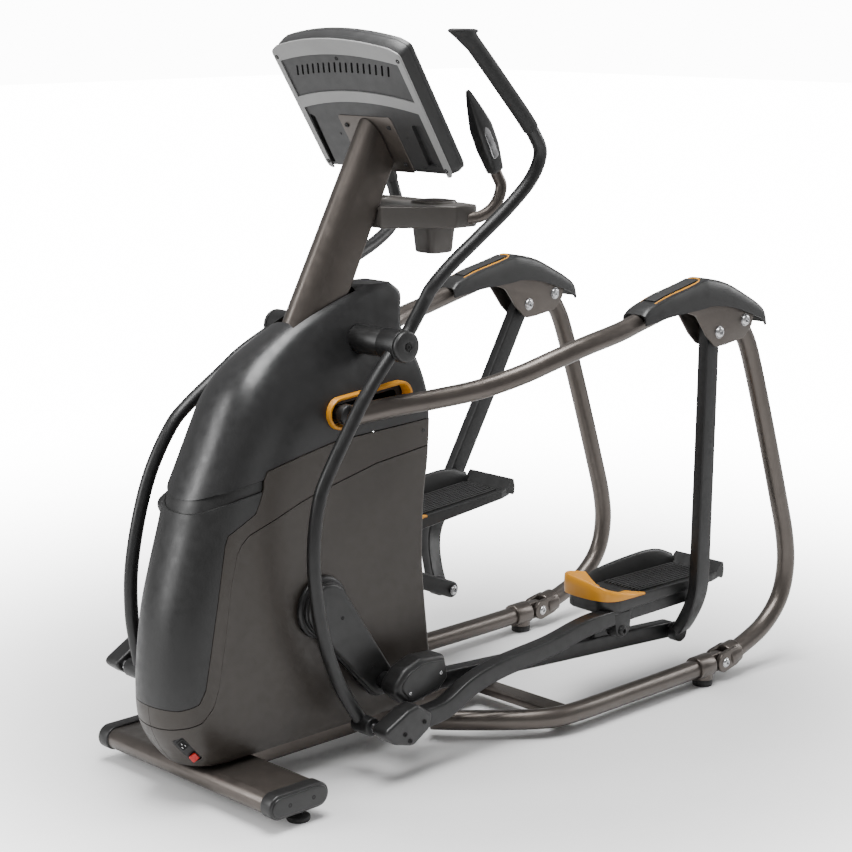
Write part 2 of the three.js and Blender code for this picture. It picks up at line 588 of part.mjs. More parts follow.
for (const [name, side] of SIDES) {
  const q = linkage(PHASE[name]);

  const hoopPath = [
    [SWING_X, 640, 58], [SWING_X, 700, 70], [SWING_X, 800, 108], [SWING_X, 868, 170], [SWING_X, 893, 250],
    [SWING_X, 885, 340], [SWING_X, 845, 470], [SWING_X, 770, 690], [SWING_X, 705, 865], [SWING_X, 672, 925],
    [SWING_X, 652, 944],
  ];
  const hoop = cut(join(
    tube(hoopPath, RAIL_TUBE_R, 24, 10),
    bar(HOOP_LOW, [648, 60], SWING_X - 27, SWING_X - 13, 27, 24),
    bar(HOOP_LOW, [648, 60], SWING_X + 13, SWING_X + 27, 27, 24),
    pinX(HOOP_LOW, SWING_X + 26, SWING_X + 34, 12, 20),
    bar([660, 935], HOOP_TOP, SWING_X - 13, SWING_X + 13, 20, 22),
  ), bar([560, 50], [HOOP_LOW[0] + 2, HOOP_LOW[1]], SWING_X - 12.5, SWING_X + 12.5, 28, 27),
  pinX(HOOP_TOP, 0, 500, BOLT_R + GAP));
  add(`${name}_hoop`, onSide(hoop, side), BRONZE());

  const railPath = [
    [152, SLOT_FRONT[0], SLOT_FRONT[1]], [176, -420, 860], [208, -320, 868], [246, -212, 882],
    [278, -110, 906], [304, -20, 935], [322, 70, 960], [SWING_X, 180, 981], [SWING_X, 262, 1000],
    [SWING_X, 330, 1015], [SWING_X, 397, 1031],
  ];
  const rail = cut(tube(railPath, RAIL_TUBE_R, 22, 10), pinX(SLOT_FRONT, 0, 152, SHAFT_R + RAIL_PLAY, 20));
  add(`${name}_rail`, onSide(rail, side), BRONZE());

  const bracketOutline = [
    [404, 1008], [404, 1056], [470, 1073], [500, 1073], [562, 1056], [660, 1010], [676, 984], [668, 950],
    [636, 920], [560, 910], [520, 908], [484, 940], [440, 996],
  ];
  const bracketRoom = [
    [410, 990], [410, 1050], [470, 1067], [500, 1067], [560, 1050], [652, 1006], [700, 976], [700, 880],
    [400, 880],
  ];
  const bracketShell = cut(
    prism(bracketOutline, SWING_X - 32, SWING_X + 32),
    prism(bracketRoom, SWING_X - 26, SWING_X + 26),
  );
  const bracket = join(
    bracketShell,
    pinX(HOOP_TOP, SWING_X - 36, SWING_X + 38, BOLT_R),
    pinX(HOOP_TOP, SWING_X + 31.9, SWING_X + 38, 15),
  );
  const bracketBored = cut(bracket, pinX(SWING_TOP, 0, 500, BOLT_R + GAP));
  add(`${name}_rail_bracket`, onSide(bracketBored, side), BRONZE());

  const coverOuter = [
    [238, 992], [240, 1028], [296, 1050], [380, 1069], [464, 1086], [492, 1086], [567, 1069], [640, 1033],
    [694, 1006], [720, 980], [727, 948], [712, 946], [700, 966], [641, 986], [574, 1006], [496, 1016],
    [420, 1012], [357, 1009], [262, 992],
  ];
  const coverInner = [
    [230, 980], [230, 1018], [242, 1021], [296, 1043], [380, 1062], [464, 1079], [492, 1079], [567, 1062],
    [640, 1026], [690, 1000], [713, 976], [717, 940], [640, 900], [300, 900],
  ];
  const cover = cut(prism(coverOuter, SWING_X - 38, SWING_X + 38),
    prism(coverInner, SWING_X - 33, SWING_X + 33));
  add(`${name}_grip_cover`, onSide(cover, side), PLASTIC());

  // Swing arm: flat bar hung from the bracket, its foot bent in to the link.
  const swingPath = [
    [SWING_X, 532, 946], [SWING_X, 529, 760], [SWING_X, 524, 520], [SWING_X, 520, 330],
    [SWING_X - 3, 520, 270], [SWING_X - 20, 524, 220], [SWING_X - 48, 530, 172], [SWING_X - 74, 535, 138],
  ];
  const swing = cut(join(
    sweep(swingPath, flatSection(15, 25), 18),
    pinX(SWING_TOP, SWING_X - 15, SWING_X + 15, 26, 24),
    pinX(LINK_REAR, LINK_X[1] + 6, LINK_X[1] + 34, 24, 20),
  ), pinX(SWING_TOP, 0, 500, BOLT_R + GAP), pinX(LINK_REAR, 0, LINK_X[1] + 30, BOLT_R + GAP));
  addTurned(`${name}_swing_arm`, swing, BLACK(), side, SWING_TOP, SWING_TOP, q.swing);
  const swingBolt = join(
    pinX(SWING_TOP, SWING_X - 36, SWING_X + 36, BOLT_R),
    pinX(SWING_TOP, SWING_X + 33, SWING_X + 39, 15),
  );
  addTurned(`${name}_swing_bolt`, swingBolt, STEEL(), side, SWING_TOP, SWING_TOP, 0);

  // Support link from the crank pin to the swing arm.
  const linkBolt = join(
    pinX(LINK_REAR, LINK_X[0] - 5, LINK_X[1] + 30 - GAP, BOLT_R),
    pinX(LINK_REAR, LINK_X[0] - 10, LINK_X[0] - 4, 14),
  );
  addTurned(`${name}_link_bolt`, linkBolt, STEEL(), side, LINK_REAR, q.B, 0);
  const link = cut(join(
    bar(CRANK_PIN, LINK_REAR, LINK_X[0], LINK_X[1], 24, 22),
    pinX(CRANK_PIN, CRANK_X[1] + 4, LINK_X[0] + 1, 20, 24),
    bar([PEDAL_PIVOT[0] - 6, 150], PEDAL_PIVOT, LINK_X[0], LINK_X[1], 30, 24),
  ), pinX(LINK_REAR, 0, 500, BOLT_R + GAP), pinX(PEDAL_PIVOT, 0, 500, BOLT_R + GAP));
  addTurned(`${name}_support_link`, link, BLACK(), side, LINK_REAR, q.B, q.link);
  const linkDirection = heading(CRANK_PIN, LINK_REAR);
  const capReach = turn([120, 0], linkDirection);
  const capTail = [CRANK_PIN[0] + capReach[0], CRANK_PIN[1] + capReach[1]];
  const cap = cut(bar(CRANK_PIN, capTail, LINK_X[0] - 8, LINK_X[1] + 6, 44, 31),
    bar(CRANK_PIN, LINK_REAR, 0, LINK_X[1] + GAP, 24 + GAP, 22 + GAP));
  addTurned(`${name}_link_cover`, cap, PLASTIC(), side, LINK_REAR, q.B, q.link);

  // Pedal arm with its footplate.
  const pedalBolt = join(
    pinX(PEDAL_PIVOT, LINK_X[0] - 4, ARM_X[1] - 6, BOLT_R),
    pinX(PEDAL_PIVOT, ARM_X[1] - 12, ARM_X[1] - 2, 13),
  );
  addTurned(`${name}_pedal_bolt`, pedalBolt, STEEL(), side, PEDAL_PIVOT, q.P, 0);
  const armX = (ARM_X[0] + ARM_X[1]) / 2;
  const armPath = [
    [armX, HANDLE_LOW[0], HANDLE_LOW[1]], [armX, -470, 132], [armX, -352, 140], [armX, -264, 176],
    [armX, -158, 197], [armX, 8, 210], [armX, 130, 230], [armX, 206, 235],
  ];
  const arm = cut(join(
    sweep(armPath, flatSection(20, 24), 18),
    prism(barOutline([200, 242], [600, 238], 18), ARM_X[0], ARM_X[1]),
    bar([-510, 122], [-420, 133], ARM_X[0] - 6, ARM_X[1] + 4, 34, 30),
    pinX(HANDLE_LOW, ARM_X[0] - 20, ARM_X[0] + 4, 12, 20),
    bar([PEDAL_PIVOT[0] + 6, 234], PEDAL_PIVOT, ARM_X[0], ARM_X[1] - 14, 24, 22),
  ), pinX(PEDAL_PIVOT, 0, 500, BOLT_R + GAP));
  addTurned(`${name}_pedal_arm`, arm, BLACK(), side, PEDAL_PIVOT, q.P, q.arm);
  // Both footplates have their raised wall towards -X.
  const deckOutline = [
    [222, 262 + GAP], [640, 258 + GAP], [668, 262], [672, 300],
    [655, 300], [640, 280], [216, 284], [212, 270],
  ];
  const wallOutline = [[330, 280], [650, 276], [650, 300], [600, 326], [470, 322], [360, 300]];
  const deck = join(prism(deckOutline, ...PEDAL_X), prism(wallOutline, PEDAL_X[0], PEDAL_X[0] + 9));
  const toe = cut(
    prism([[206, 284.5], [212, 330], [300, 316], [322, 284]], PEDAL_X[0] - 4, PEDAL_X[1] + 4),
    prism([[228, 284], [232, 340], [330, 330], [330, 284]], PEDAL_X[0] + 10, PEDAL_X[1] - 10),
    deck,
  );
  const sameHand = (geometry) => (side > 0 ? geometry : acrossPedal(geometry));
  addTurned(`${name}_pedal`, sameHand(deck), PLASTIC(), side, PEDAL_PIVOT, q.P, q.arm);
  addTurned(`${name}_toe_cup`, sameHand(toe), YELLOW(), side, PEDAL_PIVOT, q.P, q.arm);

  // Crank arm.
  const crankArm = cut(
    bar(CRANK_AXIS, CRANK_PIN, CRANK_X[0], CRANK_X[1], 66, 44),
    pinX(CRANK_AXIS, 0, CRANK_X[1] - 8 + GAP, 17 + GAP, 24),
  );
  addTurned(`${name}_crank_arm`, crankArm, BLACK(), side, CRANK_AXIS, CRANK_AXIS, q.crank);

  // Moving handlebar on its hub.
  const hub = join(
    pinX(HANDLE_TOP, 69, 160, 26, 28),
    pinX(HANDLE_TOP, 159, 232, 12, 24),
    pinX(HANDLE_TOP, CORE_X[0] - 4, 70, 12, 20),
    pinX(HANDLE_TOP, 225, 236, 37, 32),
  );
  addTurned(`${name}_handle_hub`, hub, BLACK(), side, HANDLE_TOP, HANDLE_TOP, 0);
  const handlePath = [
    [HANDLE_X + 1, -535, 129], [185, -573, 184], [187, -610, 245], [189, -649, 340], [190, -675, 457],
    [192, -683, 570], [194, -668, 677], [196, -640, 740], [198, -573, 842], [201, -528, 907],
    [202, -467, 976], [202, -432, 1006], [203, -396, 1041], [213, -360, 1102], [226, -348, 1134],
    [242, -303, 1183], [263, -232, 1244], [284, -160, 1307], [303, -106, 1369], [316, -90, 1426],
    [324, -118, 1470], [328, -170, 1526],
  ];
  const handle = cut(join(
    tube(handlePath, HANDLE_TUBE_R, 40, 8),
    tube([[327, -166, 1522], [327, -250, 1608], [326, -340, 1700]], 18, 2, 10),
    pinX(HANDLE_TOP, 164, 222, 37, 28),
    pinX(HANDLE_LOW, 170, ARM_X[0] - 20 - GAP * 10, 22, 20),
  ), pinX(HANDLE_TOP, 0, 500, 12 + GAP, 24));
  addTurned(`${name}_handlebar`, handle, BLACK(), side, HANDLE_TOP, HANDLE_TOP, q.handle);
}

model.position.y = FOOTPRINT_SHIFT;
export default model;
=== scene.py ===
import json
from math import asin, atan2, copysign, cos, hypot, pi, radians, sin, tan

import bmesh
import bpy
from mathutils import Matrix, Vector


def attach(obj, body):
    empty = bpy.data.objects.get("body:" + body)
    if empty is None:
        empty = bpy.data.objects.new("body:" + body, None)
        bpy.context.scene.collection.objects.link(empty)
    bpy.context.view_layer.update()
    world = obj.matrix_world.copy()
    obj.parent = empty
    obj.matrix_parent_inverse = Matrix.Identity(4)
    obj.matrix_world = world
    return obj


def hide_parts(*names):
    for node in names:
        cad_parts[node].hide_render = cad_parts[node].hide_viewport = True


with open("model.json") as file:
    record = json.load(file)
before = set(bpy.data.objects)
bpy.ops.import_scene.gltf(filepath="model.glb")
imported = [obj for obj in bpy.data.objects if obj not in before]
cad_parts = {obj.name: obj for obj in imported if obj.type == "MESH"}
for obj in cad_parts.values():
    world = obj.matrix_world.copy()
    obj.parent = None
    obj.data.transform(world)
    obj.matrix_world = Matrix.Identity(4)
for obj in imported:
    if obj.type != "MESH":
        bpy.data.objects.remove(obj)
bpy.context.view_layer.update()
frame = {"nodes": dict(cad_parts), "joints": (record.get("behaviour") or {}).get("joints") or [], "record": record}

# Lengths below are millimetres in the machine's side view, before the footprint is centred.
MM = 0.001
FOOTPRINT_SHIFT = 45.5

# ---------------------------------------------------------------- placing
joint = {j["name"]: j for j in frame["joints"]}
ratio = {c["joint"]: c["ratio"] for c in frame["record"]["behaviour"]["couplings"]}
SIDES = (("left", 1), ("right", -1))


def pivot(name):
    y, z = joint[name]["pos_m"][1:]
    return Vector((y / MM - FOOTPRINT_SHIFT, z / MM))


HALF = pi
swing_turn = ratio["left_swing_hinge"] * HALF
link_turn = swing_turn + ratio["left_link_hinge"] * HALF
arm_turn = link_turn + ratio["left_pedal_hinge"] * HALF
handle_turn = ratio["left_handle_hinge"] * HALF
# How each moving piece of the left side is carried to its rest place on the right side.
CARRY = {
    "crank": (pivot("stride_crank"), pivot("stride_crank"), HALF),
    "swing": (pivot("left_swing_hinge"), pivot("right_swing_hinge"), swing_turn),
    "link": (pivot("left_link_hinge"), pivot("right_link_hinge"), link_turn),
    "link_bolt": (pivot("left_link_hinge"), pivot("right_link_hinge"), 0.0),
    "arm": (pivot("left_pedal_hinge"), pivot("right_pedal_hinge"), arm_turn),
    "arm_bolt": (pivot("left_pedal_hinge"), pivot("right_pedal_hinge"), 0.0),
    "handle": (pivot("left_handle_hinge"), pivot("right_handle_hinge"), handle_turn),
}


def carry(point, move):
    start, end, angle = CARRY[move]
    y, z = point.y - start.x, point.z - start.y
    c, s = cos(angle), sin(angle)
    return Vector((point.x, end.x + y * c - z * s, end.y + y * s + z * c))


# ---------------------------------------------------------------- finishes
def finish(name, color, rough, metal=0.0, coat=0.0, spread=0.08, grain=0.0, grain_scale=900.0,
           rough_spread=0.06):
    """A procedural finish: cloudy tone, uneven gloss and a fine moulded or sprayed grain."""
    material = bpy.data.materials.new(name)
    material.use_nodes = True
    tree = material.node_tree
    shader = tree.nodes["Principled BSDF"]
    place = tree.nodes.new("ShaderNodeTexCoord")

    def noise(scale, detail):
        node = tree.nodes.new("ShaderNodeTexNoise")
        node.inputs["Scale"].default_value = scale
        node.inputs["Detail"].default_value = detail
        tree.links.new(place.outputs["Object"], node.inputs["Vector"])
        return node.outputs["Fac"]

    def spread_to(source, low, high):
        node = tree.nodes.new("ShaderNodeMapRange")
        node.inputs["From Min"].default_value = 0.3
        node.inputs["From Max"].default_value = 0.7
        node.inputs["To Min"].default_value = low
        node.inputs["To Max"].default_value = high
        tree.links.new(source, node.inputs["Value"])
        return node.outputs["Result"]

    tone = tree.nodes.new("ShaderNodeMix")
    tone.data_type = "RGBA"
    tone.inputs["A"].default_value = (*[c * (1 - spread) for c in color], 1)
    tone.inputs["B"].default_value = (*[c * (1 + spread) for c in color], 1)
    tree.links.new(spread_to(noise(7.0, 4.0), 0.0, 1.0), tone.inputs["Factor"])
    tree.links.new(tone.outputs["Result"], shader.inputs["Base Color"])
    tree.links.new(spread_to(noise(45.0, 3.0), rough - rough_spread, rough + rough_spread),
                   shader.inputs["Roughness"])
    if grain:
        bump = tree.nodes.new("ShaderNodeBump")
        bump.inputs["Strength"].default_value = grain
        bump.inputs["Distance"].default_value = 0.0004
        tree.links.new(noise(grain_scale, 2.0), bump.inputs["Height"])
        tree.links.new(bump.outputs["Normal"], shader.inputs["Normal"])
    shader.inputs["Metallic"].default_value = metal
    shader.inputs["Coat Weight"].default_value = coat
    shader.inputs["Coat Roughness"].default_value = 0.25
    return material


FINISH = {
    "bronze_paint": finish("bronze_paint", (0.108, 0.094, 0.084), 0.34, metal=0.8, coat=0.12, grain=0.14,
                           grain_scale=1400.0),
    "black_paint": finish("black_paint", (0.0085, 0.0085, 0.0087), 0.40, metal=0.1, grain=0.20,
                          grain_scale=1300.0),
    "black_plastic": finish("black_plastic", (0.0115, 0.0115, 0.0115), 0.40, grain=0.18),
    "shroud_plastic": finish("shroud_plastic", (0.0155, 0.0155, 0.0158), 0.34, grain=0.10),
    "panel_plastic": finish("panel_plastic", (0.038, 0.032, 0.027), 0.40, metal=0.2, grain=0.12,
                            grain_scale=1200.0),
    "yellow_plastic": finish("yellow_plastic", (0.62, 0.255, 0.010), 0.42, grain=0.12),
    "bright_steel": finish("bright_steel", (0.60, 0.60, 0.61), 0.24, metal=1.0, spread=0.04),
    "rubber": finish("rubber", (0.010, 0.010, 0.010), 0.68, grain=0.4, grain_scale=700.0),
    "console_plastic": finish("console_plastic", (0.024, 0.024, 0.0243), 0.42, grain=0.18),
    "display_glass": finish("display_glass", (0.006, 0.007, 0.009), 0.12, coat=0.6, rough_spread=0.03),
    "red_plastic": finish("red_plastic", (0.55, 0.012, 0.010), 0.35),
}
CONSOLE_BAND = finish("console_band", (0.235, 0.235, 0.233), 0.42, grain=0.12)
TRAY_PLASTIC = finish("tray_plastic", (0.085, 0.078, 0.072), 0.38, metal=0.3, grain=0.12)
# Near-black and matte, darker than any black part: the screws' and bolts' own black with painted shade of the
# recesses they sit in.
PAINTED_RECESS_SHADE = finish("painted_recess_shade", (0.004, 0.004, 0.004), 0.80)
SCREEN_LIT = finish("screen_lit", (0.012, 0.016, 0.024), 0.15, coat=0.6, rough_spread=0.03)
GREY_MARK = finish("grey_mark", (0.30, 0.30, 0.31), 0.45)

for node_name, node in frame["nodes"].items():
    for part in frame["record"]["subparts"]:
        if part["node"] == node_name:
            node.data.materials.clear()
            node.data.materials.append(FINISH[part["material_slot"]])


# ---------------------------------------------------------------- shapes
def skin(rings, caps=True):
    """Joins rings with the same number of points into one skin."""
    bm = bmesh.new()
    rows = [[bm.verts.new(p) for p in ring] for ring in rings]
    n = len(rings[0])
    for low, high in zip(rows, rows[1:]):
        for i in range(n):
            j = (i + 1) % n
            bm.faces.new((low[i], low[j], high[j], high[i]))
    if caps:
        bm.faces.new(rows[0][::-1])
        bm.faces.new(rows[-1])
    bmesh.ops.recalc_face_normals(bm, faces=bm.faces[:])
    return bm


def merge(*parts):
    """Several skins in one piece."""
    whole = bmesh.new()
    for part in parts:
        mesh = bpy.data.meshes.new("part")
        part.to_mesh(mesh)
        whole.from_mesh(mesh)
        bpy.data.meshes.remove(mesh)
        part.free()
    return whole


def boolean(body, tool, operation):
    """Exact boolean of two closed skins."""
    pair = []
    for bm in (body, tool):
        mesh = bpy.data.meshes.new("operand")
        bm.to_mesh(mesh)
        bm.free()
        pair.append(bpy.data.objects.new("operand", mesh))
        bpy.context.scene.collection.objects.link(pair[-1])
    modifier = pair[0].modifiers.new("cut", "BOOLEAN")
    modifier.operation = operation
    modifier.solver = "EXACT"
    modifier.object = pair[1]
    bpy.context.view_layer.update()
    result = bmesh.new()
    result.from_mesh(pair[0].evaluated_get(bpy.context.evaluated_depsgraph_get()).to_mesh())
    for ob in pair:
        bpy.data.objects.remove(ob)
    return result


def cut_out(body, tool):
    """The body without the tool."""
    return boolean(body, tool, "DIFFERENCE")


def common_to(body, tool):
    """What the body and the tool share."""
    return boolean(body, tool, "INTERSECT")


def fillet(points, radius, steps=5):
    """Outline with rounded corners. A point may carry its own radius as a third number."""
    out = []
    for i, point in enumerate(points):
        corner = Vector(point[:2])
        r = point[2] if len(point) > 2 else radius
        before = Vector(points[i - 1][:2]) - corner
        after = Vector(points[(i + 1) % len(points)][:2]) - corner
        half = before.angle(after) / 2
        reach = min(r / max(tan(half), 0.05), 0.48 * before.length, 0.48 * after.length)
        if reach < 0.01:
            out.append(corner)
            continue
        start, end = corner + before.normalized() * reach, corner + after.normalized() * reach
        for k in range(steps + 1):
            t = k / steps
            out.append(start * (1 - t) ** 2 + corner * (2 * t * (1 - t)) + end * t * t)
    return out


def inset(outline, distance):
    """Outline moved inward by a distance, corners mitred."""
    area = sum(a[0] * b[1] - b[0] * a[1] for a, b in zip(outline, outline[1:] + outline[:1]))
    sign = 1 if area > 0 else -1
    out = []
    for i, point in enumerate(outline):
        p = Vector(point[:2])
        u, v = p - Vector(outline[i - 1][:2]), Vector(outline[(i + 1) % len(outline)][:2]) - p
        if u.length < 1e-6 or v.length < 1e-6:
            u = v = (u if u.length > v.length else v)
        nu, nv = Vector((-u.y, u.x)).normalized(), Vector((-v.y, v.x)).normalized()
        n = nu + nv
        n = n / max(n.length_squared / 2, 0.35)
        out.append(p + n * distance * sign)
    return out


def axis_point(axis, u, v, w):
    """Outline plane coordinates u, v and height w to x, y, z."""
    return Vector({"x": (w, u, v), "y": (u, w, v), "z": (u, v, w)}[axis])


def plate(outline, low, high, edge=2.0, axis="x", steps=3):
    """An outline given thickness, with rounded rims."""
    outline = [Vector(p[:2]) for p in outline]
    edge = min(edge, 0.49 * abs(high - low))
    rings = []
    for k in range(steps + 1):
        a = pi / 2 * k / steps
        rings.append([axis_point(axis, *p, low + edge * (1 - cos(a)))
                      for p in inset(outline, edge * (1 - sin(a)))])
    for k in range(steps + 1):
        a = pi / 2 * k / steps
        rings.append([axis_point(axis, *p, high - edge * (1 - sin(a)))
                      for p in inset(outline, edge * (1 - cos(a)))])
    return skin(rings)


def stadium(a, b, r0, r1=None, steps=14):
    """Outline of a round-ended bar."""
    r1 = r0 if r1 is None else r1
    heading = atan2(b[1] - a[1], b[0] - a[0])
    lean = asin(max(-1.0, min(1.0, (r0 - r1) / max(hypot(b[0] - a[0], b[1] - a[1]), 1e-6))))
    out = []
    for centre, r, start, sweep_angle in ((b, r1, heading - pi / 2 + lean, pi - 2 * lean),
                                          (a, r0, heading + pi / 2 - lean, pi + 2 * lean)):
        for k in range(steps + 1):
            t = start + sweep_angle * k / steps
            out.append((centre[0] + r * cos(t), centre[1] + r * sin(t)))
    return out


def circle(centre, r, sides=40):
    return [(centre[0] + r * cos(2 * pi * k / sides), centre[1] + r * sin(2 * pi * k / sides))
            for k in range(sides)]


def rectangle(width, height, r, steps=4):
    w, h = width / 2, height / 2
    return [tuple(p) for p in fillet([(-w, -h), (w, -h), (w, h), (-w, h)], r, steps)]


def smooth_path(points, per_span=8):
    """Catmull-Rom curve through the points."""
    pts = [Vector(p) for p in points]
    pts = [pts[0] * 2 - pts[1]] + pts + [pts[-1] * 2 - pts[-2]]
    out = []
    for a, b, c, d in zip(pts, pts[1:], pts[2:], pts[3:]):
        for k in range(per_span):
            t = k / per_span
            out.append(0.5 * ((2 * b) + (c - a) * t + (2 * a - 5 * b + 4 * c - d) * t * t
                              + (3 * b - a - 3 * c + d) * t ** 3))
    return out + [pts[-2]]


def sweep(points, section, side_axis=None, per_span=8, ends=3.0, scale=None, end_steps=3):
    """A section carried along a smooth path with softly rounded ends. scale(t) resizes it along the way."""
    path = smooth_path(points, per_span) if per_span else [Vector(p) for p in points]
    tangents = [(b - a).normalized() for a, b in
                zip([path[0]] + path[:-1], path[1:] + [path[-1]])]
    u = Vector(side_axis) if side_axis else tangents[0].orthogonal()
    radius = max(hypot(*p) for p in section)
    ends = min(ends, 0.9 * radius)
    stations = []
    for k in range(end_steps):
        a = pi / 2 * k / end_steps
        stations.append((0, ends * (1 - cos(a)), ends * (1 - sin(a))))
    stations += [(i, 0.0, 0.0) for i in range(1, len(path) - 1)]
    for k in range(end_steps):
        a = pi / 2 * (end_steps - 1 - k) / end_steps
        stations.append((len(path) - 1, -ends * (1 - cos(a)), ends * (1 - sin(a))))
    rings = []
    for index, along, shrink in stations:
        t = tangents[index]
        if side_axis:
            u = Vector(side_axis)
        u = (u - t * u.dot(t)).normalized()
        v = t.cross(u)
        size = (scale(index / (len(path) - 1)) if scale else 1.0) * (1 - shrink / radius)
        rings.append([path[index] + t * along + u * p[0] * size + v * p[1] * size for p in section])
    return skin(rings)


def tube(points, r, per_span=8, sides=28, ends=2.0, scale=None):
    return sweep(points, circle((0, 0), r, sides), per_span=per_span, ends=ends, scale=scale)


def turned(origin, direction, profile, sides=36, hexagon=()):
    """A turned piece: profile is [(radius, distance along the axis)]. Rows named in hexagon are six-sided."""
    origin, d = Vector(origin), Vector(direction).normalized()
    u = d.orthogonal().normalized()
    v = d.cross(u)
    rings = []
    for row, (r, h) in enumerate(profile):
        ring = []
        for k in range(sides):
            a = 2 * pi * k / sides
            size = r / cos((a % (pi / 3)) - pi / 6) if row in hexagon else r
            ring.append(origin + d * h + (u * cos(a) + v * sin(a)) * size)
        rings.append(ring)
    return skin(rings)


def round_off(profile, steps=3):
    """Fillets the corners of a turned profile whose points carry a radius as a third number."""
    out = []
    for i, p in enumerate(profile):
        if len(p) < 3 or not 0 < i < len(profile) - 1:
            out.append(tuple(p[:2]))
            continue
        corner, before, after = (Vector(q[:2]) for q in (p, profile[i - 1], profile[i + 1]))
        a, b = before - corner, after - corner
        reach = min(p[2], 0.48 * a.length, 0.48 * b.length)
        start, end = corner + a.normalized() * reach, corner + b.normalized() * reach
        for k in range(steps + 1):
            t = k / steps
            out.append(tuple(start * (1 - t) ** 2 + corner * 2 * t * (1 - t) + end * t * t))
    return out


def button_bolt(origin, direction, r=14.0, h=7.0):
    """Domed bolt head with a hexagon socket, seated on a thin washer."""
    profile = [(r * 1.12, 0), (r * 1.12, 1.6), (r, 1.7), (r * 0.99, 2.6), (r * 0.90, h * 0.66),
               (r * 0.70, h * 0.92),
               (r * 0.50, h), (r * 0.46, h - 0.2), (r * 0.40, h - 0.8), (r * 0.40, h * 0.35), (0.5, h * 0.35)]
    return turned(origin, direction, profile, 36, hexagon=(8, 9))


def screw(origin, direction, r=5.0):
    """Small recessed screw head."""
    profile = [(r, -0.5), (r, 0.4), (r * 0.9, 0.8), (r * 0.5, 1.0), (r * 0.42, 0.9), (r * 0.42, -0.3),
               (0.3, -0.3)]
    return turned(origin, direction, profile, 18, hexagon=(4, 5))


def put(name, bm, slot, body, nodes=(), side=1, move=None, material=None, angle=38.0):
    """Adds a piece to the scene: carried, mirrored and scaled to the row frame."""
    for vert in bm.verts:
        p = vert.co.copy()
        if move and side < 0:
            p = carry(p, move)
        vert.co = (p.x * side * MM, (p.y + FOOTPRINT_SHIFT) * MM, p.z * MM)
    bmesh.ops.recalc_face_normals(bm, faces=bm.faces[:])
    mesh = bpy.data.meshes.new(name)
    bm.to_mesh(mesh)
    bm.free()
    for polygon in mesh.polygons:
        polygon.use_smooth = True
    mesh.set_sharp_from_angle(angle=radians(angle))
    ob = bpy.data.objects.new(name, mesh)
    bpy.context.scene.collection.objects.link(ob)
    mesh.materials.append(material or FINISH[slot])
    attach(ob, body)
    if nodes:
        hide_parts(*nodes)
    return ob


# ---------------------------------------------------------------- linkage places, left side at rest
CRANK_AXIS = (-598, 406)
CRANK_PIN = (-434, 199)
LINK_REAR = (536, 129)
SWING_TOP = (532, 946)
PEDAL_PIVOT = (268, 198)
HANDLE_TOP = (-432, 1006)
HANDLE_LOW = (-535, 126)
HOOP_LOW = (608, 52)
HOOP_TOP = (637, 966)
SLOT_FRONT = (-532, 850)
SLOT_REAR = (-345, 864)


# ---------------------------------------------------------------- base frame
STAB_Y, STAB_Z, LEVEL_Y = -841, 58, -820


def stabilizer_section(r):
    return stadium((STAB_Y - 56, STAB_Z), (STAB_Y + 56, STAB_Z), r, steps=16)


put("stabilizer_beam", plate(stabilizer_section(25), -290, 290, 1.0), "bronze_paint", "base",
    ["front_stabilizer"])
for name, side in SIDES:
    cap = merge(plate(stabilizer_section(28.6), 282, 319, 5.0, steps=4),
                plate(stabilizer_section(22.5), 316, 322, 3.0, steps=4))
    put(f"{name}_stabilizer_cap", cap, "black_plastic", "base", side=side)
    # The cap screws carry the painted recess shade.
    screws = merge(*[screw((321.4, STAB_Y + dy, STAB_Z), (1, 0, 0), 5.4) for dy in (-30, 38)])
    put(f"{name}_cap_screws", screws, "black_plastic", "base", side=side, material=PAINTED_RECESS_SHADE)
    hoof_profile = [(12, 0), (25, 0, 2), (27, 5, 3), (27, 12, 4), (10, 18, 3), (7.5, 20), (7.5, 32.4)]
    hoof = turned((288, LEVEL_Y, 0), (0, 0, 1), round_off(hoof_profile), 30)
    put(f"{name}_levelling_hoof", hoof, "rubber", f"{name}_foot_screw", [f"{name}_levelling_foot"], side)
    nut_profile = [(6, 20), (12.5, 20), (13.5, 21.5), (13.5, 27), (12.5, 28.5), (6, 28.5)]
    nut = turned((288, LEVEL_Y, 0), (0, 0, 1), nut_profile, 24, hexagon=(1, 2, 3, 4))
    put(f"{name}_lock_nut", nut, "bright_steel", f"{name}_foot_screw", side=side)

spine = merge(
    plate([tuple(p) for p in fillet([(-38, STAB_Y + 82), (38, STAB_Y + 82), (38, 62), (-38, 62)], 2)], 34, 74,
          5, "z"),
    plate([tuple(p) for p in fillet([(-318, 0), (318, 0), (318, 62), (-318, 62)], 3)], 34, 52, 3, "z"),
)
put("base_spine", spine, "bronze_paint", "base", ["spine_beam"])

for name, side in SIDES:
    leg = [(120, -250, 47), (180, -196, 47), (270, -98, 47), (318, -24, 47), (330, 60, 47), (330, 200, 47),
           (330, 400, 48), (330, 530, 50)]
    put(f"{name}_base_rail", tube(leg, 25, 10, 32), "bronze_paint", "base", [f"{name}_base_tube"], side)
    sleeve = turned((330, 508, 50), (0, 1, 0.02), round_off([(20, 0), (31.5, 0, 3), (31.5, 62, 7), (12, 66)]),
                    40)
    post = turned((330, 545, 17), (0, 0, 1), round_off([(16, 0), (27, 0, 2), (27, 30)]), 36)
    tongue = plate(stadium((556, 51), HOOP_LOW, 25, 25), 319, 341, 2.5)
    put(f"{name}_rear_fitting", merge(sleeve, post, tongue), "bronze_paint", "base", side=side)
    pad = turned((330, 545, 0), (0, 0, 1), round_off([(20, 0), (26, 0, 2), (27, 14, 3), (24, 20)]), 36)
    put(f"{name}_rear_pad", pad, "rubber", "base", [f"{name}_rear_foot"], side)

